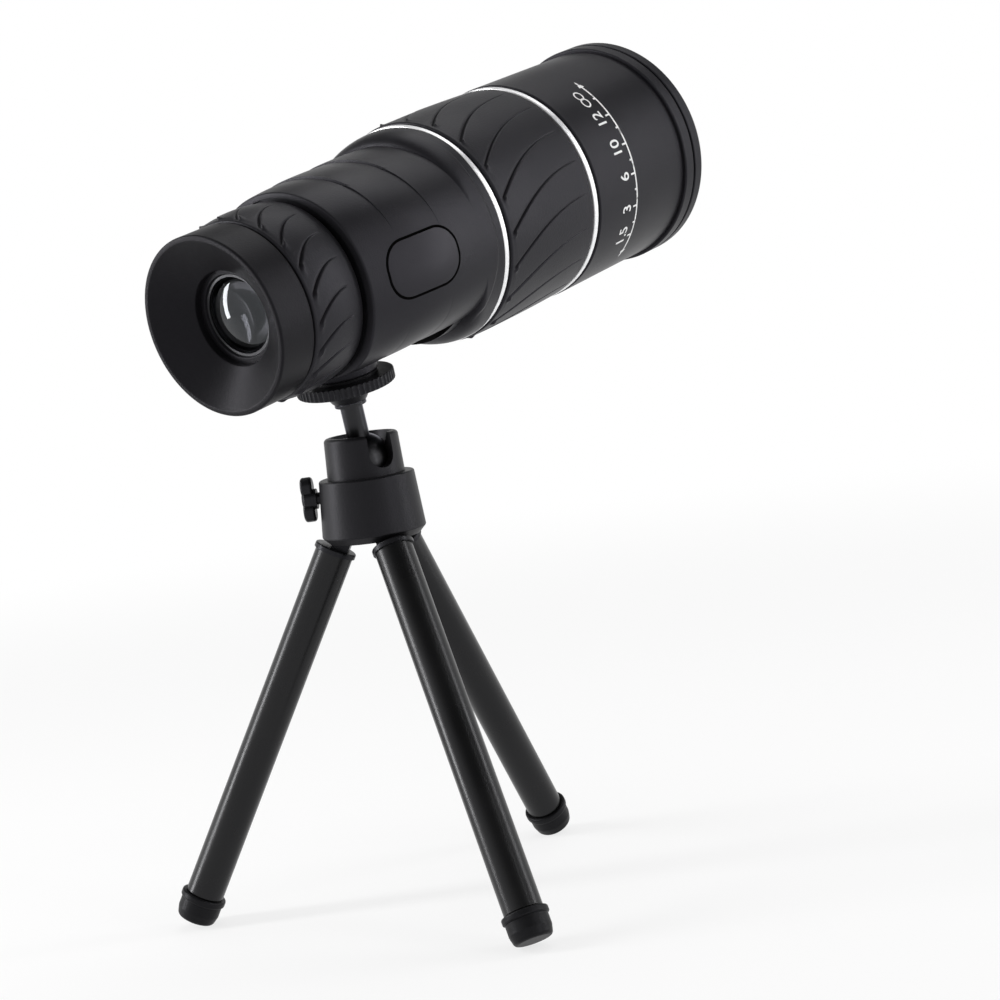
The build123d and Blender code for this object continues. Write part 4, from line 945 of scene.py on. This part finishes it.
for node, body, slot, glass in (
    ("crown_lens", "objective", "objective_glass", front_glass),
    ("flint_lens", "objective", "objective_glass", front_glass),
    ("eye_lens", "eyepiece", "eye_glass", eye_glass),
    ("field_lens", "eyepiece", "eye_glass", eye_glass),
):
    mesh = closed_mesh(node + "_polished", lens_rings(node), SIGHT)
    piece_of(node + "_polished", mesh, body, glass, [node])


# ---------------------------------------------------------------- dioptre ring
# A rubber sleeve on the ring that turns the eyepiece in and out; its short treads start at
# raised points beside the eyecup and fade before the body.
start, end, outer = reach("dioptre_grip", SIGHT)
DIOPTRE_EDGE_R = 21.7
DIOPTRE_BORE = 20.5


def dioptre_crown(s):
    """The dioptre grip's radius, fuller at mid length."""
    share = (s - start) / (end - start)
    return outer - (outer - DIOPTRE_EDGE_R) * (2 * share - 1) ** 2


rows = tread_rows(
    start,
    end,
    dioptre_crown,
    DIOPTRE_BORE,
    first=start + 1.1,
    last=end - 3.2,
    sweep=radians(15.5),
    bend=2.5,
    depth=0.6,
    lip=0.2,
    phase=0.68,
)
sector = sector_mesh("dioptre_tread", rows)
mesh = copies_around("dioptre_grip_treads", sector, TREADS, rubber)
mesh.transform(SIGHT)
outward(mesh)
piece_of(
    "dioptre_grip_treads", mesh, "dioptre", rubber, ["dioptre_grip"], sharp=60
)


# ---------------------------------------------------------------- eyecup
# A soft rubber funnel moulded on the eyepiece barrel: a plain outside, a thin rounded rim and
# a smooth inside that leads down to the stepped seat of the eye lens.
cup_rubber = finish_of("cup_rubber", (0.0070, 0.0068, 0.0078), 0.42, 2100.0, 0.3, shine=0.12)
rim, cup_end, cup_r = reach("eyecup", SIGHT)
CUP_WALL = 1.3
CUP_EDGE = 0.6
RIM_EDGE = 0.55
SEAT_R = 11.4            # the funnel ends in a step round the eye lens
SEAT_STATION = -30.9
SEAT_DEPTH = 1.7
SEAT_DRAFT = 0.1
SEAT_EDGE = 0.5
LIP_R = 10.1             # a small lip lies on the barrel's rear face
LIP_BORE = 9.8
LIP_ROUND = 0.15
EYE_BARREL_R = 17.45
FACE_GAP = 0.02
barrel_rear = reach("eyepiece_barrel", SIGHT)[0]
mesh = turned(
    [
        (cup_end, EYE_BARREL_R),
        (cup_end, cup_r, CUP_EDGE),
        (rim, cup_r, RIM_EDGE),
        (rim, cup_r - CUP_WALL, RIM_EDGE),
        (SEAT_STATION, SEAT_R, SEAT_EDGE),
        (SEAT_STATION + SEAT_DEPTH, SEAT_R - SEAT_DRAFT),
        (SEAT_STATION + SEAT_DEPTH, LIP_R, LIP_ROUND),
        (barrel_rear - FACE_GAP, LIP_BORE),
        (barrel_rear - FACE_GAP, EYE_BARREL_R),
    ],
    "eyecup_funnel",
    SIGHT,
    RING_STEPS,
)
piece_of("eyecup_funnel", mesh, "eyepiece", cup_rubber, ["eyecup"])


# ---------------------------------------------------------------- barrels and cells
# The black parts inside the housing: an anodised aluminium barrel that carries both rings, the
# moulded focus drum and cell, the turned dioptre ring and eyepiece barrel, and the steel pins
# that run in a helical slot and a straight one, so that turning a ring slides its lenses.
anodised = finish_of("black_anodised", (0.012, 0.012, 0.013), 0.36, 2400.0, 0.2, shine=0.45)
steel = finish_of("plain_steel", (0.5, 0.5, 0.52), 0.3, 900.0, 0.1, metal=1.0)


def dress(material, *nodes):
    """Give CAD nodes that show as they are a finish."""
    for node in nodes:
        own = frame["nodes"][node].data
        own.materials.clear()
        own.materials.append(material)


dress(anodised, "inner_barrel", "focus_drum", "objective_cell", "objective_retainer")
dress(anodised, "dioptre_ring", "eyepiece_barrel", "eyepiece_retainer")
dress(steel, "focus_pin", "dioptre_pin")


# ---------------------------------------------------------------- prisms
# A half-penta and a roof prism of clear glass that turn the picture upright, held in a cage
# of dead black plastic; the eyepiece's spacer is blackened too, against stray light.
prism_glass = glass_of("prism_glass", (0.5, 0.52, 0.51), (1.0, 1.0, 1.0))
baffle = finish_of("baffle_black", (0.003, 0.003, 0.003), 0.8, 500.0, 0.05, shine=0.05)
dress(prism_glass, "half_penta_prism", "roof_prism")
dress(baffle, "eyepiece_spacer", "prism_cage")


# ---------------------------------------------------------------- lock disc and bush
# A knurled nut of hard black plastic with a tapered hub, turned up against the scope with a
# rubber pad on it; the brass bush moulded into the housing takes the stud.
hard = finish_of("hard_black", (0.009, 0.009, 0.010), 0.32, 1500.0, 0.3, shine=0.2)
sole = finish_of("foot_rubber", (0.006, 0.006, 0.0065), 0.42, 1300.0, 0.5, shine=0.14)
brass = finish_of("turned_brass", (0.7, 0.52, 0.22), 0.32, 900.0, 0.1, metal=1.0)
dress(hard, "lock_disc")
dress(sole, "friction_pad")
dress(brass, "tripod_bush")


# ---------------------------------------------------------------- ball head
# A painted metal collar and slotted socket hold the ball; a wing screw of black plastic
# presses a nylon cup against it. The nickelled ball and its stem carry a steel stud.
painted = finish_of(
    "head_paint", (0.0062, 0.0061, 0.0068), 0.44, 1800.0, 0.35, shine=0.2, vary=0.06
)
nickel = finish_of("dark_nickel", (0.03, 0.03, 0.032), 0.3, 900.0, 0.08, metal=1.0)
nylon = finish_of("dark_nylon", (0.03, 0.03, 0.03), 0.5, 1300.0, 0.2)
dress(painted, "collar", "ball_socket")
dress(hard, "thumb_screw")
dress(nylon, "ball_seat", "thumb_tip")
dress(nickel, "ball_stem")
dress(steel, "mount_stud")


# ---------------------------------------------------------------- legs
# Two thin metal tubes that slide in each other, both black, on plastic plugs that swing on
# steel pins in a yoke under the head; a nylon bush at each tube's end guides its slider.
enamel = finish_of(
    "leg_enamel", (0.0028, 0.0028, 0.0029), 0.27, 900.0, 0.06, shine=0.3, vary=0.2
)
LEGS = ("left", "right", "front")
dress(hard, "leg_yoke")
dress(steel, "leg_pins")
for leg in LEGS:
    dress(hard, leg + "_leg_plug")
    dress(enamel, leg + "_leg_tube", leg + "_leg_slider")
    dress(nylon, leg + "_leg_bush")


# ---------------------------------------------------------------- feet
# A moulded rubber cap pushed over each slider's end: a rim round its mouth, then sides that
# draw in towards a rounded sole.
FOOT_RIM = 1.7
FOOT_WAIST = 0.45        # the sides start this much inside the rim,
FOOT_DRAW = 1.05         # and end this much inside it
FOOT_BORE = 4.1
FOOT_CAVITY = 4.9
SOLE_EDGE = 1.0
SOLE_HEIGHT = 2.4        # the sides draw in over this height above the sole
SIDE_EDGE = 0.8
RIM_LOW_EDGE = 0.4
RIM_TOP_EDGE = 0.5
for leg in LEGS:
    away = Vector(joint[leg + "_leg_extend"]["axis"])
    across = away.cross(Vector((0, 0, 1))).normalized()
    leg_frame = place_of(Vector((0, 0, 0)), away, across)
    spots = [leg_frame.inverted() @ v.co for v in frame["nodes"][leg + "_foot"].data.vertices]
    y = (min(p.y for p in spots) + max(p.y for p in spots)) / 2
    z = (min(p.z for p in spots) + max(p.z for p in spots)) / 2
    leg_frame = place_of(leg_frame @ Vector((0, y, z)), away, across)
    top, bottom, foot_r = reach(leg + "_foot", leg_frame)
    mesh = turned(
        [
            (bottom, 0),
            (bottom, foot_r - FOOT_DRAW, SOLE_EDGE),
            (bottom - SOLE_HEIGHT, foot_r - FOOT_WAIST, SIDE_EDGE),
            (top + FOOT_RIM, foot_r - FOOT_WAIST),
            (top + FOOT_RIM, foot_r, RIM_LOW_EDGE),
            (top, foot_r, RIM_TOP_EDGE),
            (top, FOOT_BORE),
            (top + FOOT_CAVITY, FOOT_BORE),
            (top + FOOT_CAVITY, 0),
        ],
        leg + "_foot_cap",
        leg_frame,
        64,
    )
    piece_of(leg + "_foot_cap", mesh, leg + "_slider", sole, [leg + "_foot"])


# ---------------------------------------------------------------- studio
# A wide pale table that runs out into a white surround with a dim ceiling, two tall soft
# lamps at the sides, a narrow one near the camera and a broad weak one overhead.
GROUND_SIZE = 40.0
TABLE_NEAR = 0.25        # the table's own tone ends here, and is all white further out
TABLE_FAR = 0.8
TABLE_GLOW = 0.75
TABLE_TONE = 0.9
FILL = 0.42              # strength of the even light from all round
CEILING = 0.12           # tone of the seen surround straight up,
CEILING_FROM = 0.3       # which starts to dim at this height on a unit sphere
CEILING_TO = 0.65
half = GROUND_SIZE / 2
ground_data = bpy.data.meshes.new("ground")
corners = [(-half, -half, 0), (half, -half, 0), (half, half, 0), (-half, half, 0)]
ground_data.from_pydata(corners, [], [(0, 1, 2, 3)])
ground = bpy.data.objects.new("ground", ground_data)
bpy.context.scene.collection.objects.link(ground)


def backdrop_rays(tree):
    """One for the rays that show the white surround: seen, mirrored or through glass."""
    rays = tree.nodes.new("ShaderNodeLightPath")
    value = rays.outputs["Is Camera Ray"]
    for kind in ("Is Glossy Ray", "Is Transmission Ray"):
        either = tree.nodes.new("ShaderNodeMath")
        either.operation = "MAXIMUM"
        tree.links.new(value, either.inputs[0])
        tree.links.new(rays.outputs[kind], either.inputs[1])
        value = either.outputs[0]
    return value


paper = bpy.data.materials.new("pale_table")
paper.use_nodes = True
tree = paper.node_tree
shader = tree.nodes["Principled BSDF"]
shader.inputs["Base Color"].default_value = (TABLE_TONE, TABLE_TONE, TABLE_TONE, 1)
shader.inputs["Roughness"].default_value = 0.9
shader.inputs["Specular IOR Level"].default_value = 0.2
where = tree.nodes.new("ShaderNodeTexCoord")
reach_out = tree.nodes.new("ShaderNodeVectorMath")
reach_out.operation = "LENGTH"
tree.links.new(where.outputs["Object"], reach_out.inputs[0])
fade = tree.nodes.new("ShaderNodeMapRange")
fade.interpolation_type = "SMOOTHSTEP"
fade.inputs["From Min"].default_value = TABLE_NEAR
fade.inputs["From Max"].default_value = TABLE_FAR
fade.inputs["To Min"].default_value = TABLE_GLOW
tree.links.new(reach_out.outputs["Value"], fade.inputs["Value"])
share = tree.nodes.new("ShaderNodeMath")
share.operation = "MULTIPLY"
tree.links.new(fade.outputs["Result"], share.inputs[0])
tree.links.new(backdrop_rays(tree), share.inputs[1])
glow = tree.nodes.new("ShaderNodeEmission")
mix = tree.nodes.new("ShaderNodeMixShader")
tree.links.new(share.outputs[0], mix.inputs["Fac"])
tree.links.new(shader.outputs[0], mix.inputs[1])
tree.links.new(glow.outputs[0], mix.inputs[2])
tree.links.new(mix.outputs[0], tree.nodes["Material Output"].inputs["Surface"])
ground_data.materials.append(paper)

world = bpy.data.worlds.new("studio")
bpy.context.scene.world = world
world.use_nodes = True
tree = world.node_tree
fill = tree.nodes["Background"]
fill.inputs["Color"].default_value = (1, 1, 1, 1)
fill.inputs["Strength"].default_value = FILL
where = tree.nodes.new("ShaderNodeTexCoord")
split = tree.nodes.new("ShaderNodeSeparateXYZ")
tree.links.new(where.outputs["Generated"], split.inputs[0])
rise = tree.nodes.new("ShaderNodeMapRange")
rise.interpolation_type = "SMOOTHSTEP"
rise.inputs["From Min"].default_value = CEILING_FROM
rise.inputs["From Max"].default_value = CEILING_TO
rise.inputs["To Min"].default_value = 1.0
rise.inputs["To Max"].default_value = CEILING
tree.links.new(split.outputs["Z"], rise.inputs["Value"])
surround = tree.nodes.new("ShaderNodeBackground")
surround.inputs["Color"].default_value = (1, 1, 1, 1)
tree.links.new(rise.outputs["Result"], surround.inputs["Strength"])
choice = tree.nodes.new("ShaderNodeMixShader")
tree.links.new(backdrop_rays(tree), choice.inputs["Fac"])
tree.links.new(fill.outputs[0], choice.inputs[1])
tree.links.new(surround.outputs[0], choice.inputs[2])
tree.links.new(choice.outputs[0], tree.nodes["World Output"].inputs["Surface"])

middle = (cad_box[0] + cad_box[1]) / 2


def soft_lamp(name, bearing, distance, height, size, radiance):
    """An area lamp at a bearing from the camera's own, turned towards the object."""
    data = bpy.data.lights.new(name, "AREA")
    data.shape = "RECTANGLE"
    data.size, data.size_y = size
    data.energy = radiance * pi * size[0] * size[1]
    lamp = bpy.data.objects.new(name, data)
    bpy.context.scene.collection.objects.link(lamp)
    ahead = Vector((back.x, back.y, 0)).normalized()
    towards = Matrix.Rotation(radians(bearing), 3, "Z") @ ahead
    foot = Vector((middle.x, middle.y, height))
    lamp.location = foot + towards * distance
    lamp.rotation_mode = "QUATERNION"
    lamp.rotation_quaternion = (middle - lamp.location).to_track_quat("-Z", "Y")


# Bearing in degrees, distance, height and size in metres, and strength.
soft_lamp("right_bank", 88, 0.6, 0.2, (0.08, 0.9), 8.0)
soft_lamp("left_bank", -88, 0.6, 0.2, (0.10, 0.9), 16.0)
soft_lamp("near_strip", 50, 0.7, 0.15, (0.025, 1.0), 16.0)
soft_lamp("overhead", 150, 0.25, 0.8, (0.5, 0.5), 1.8)

bpy.context.scene.view_settings.view_transform = "Standard"
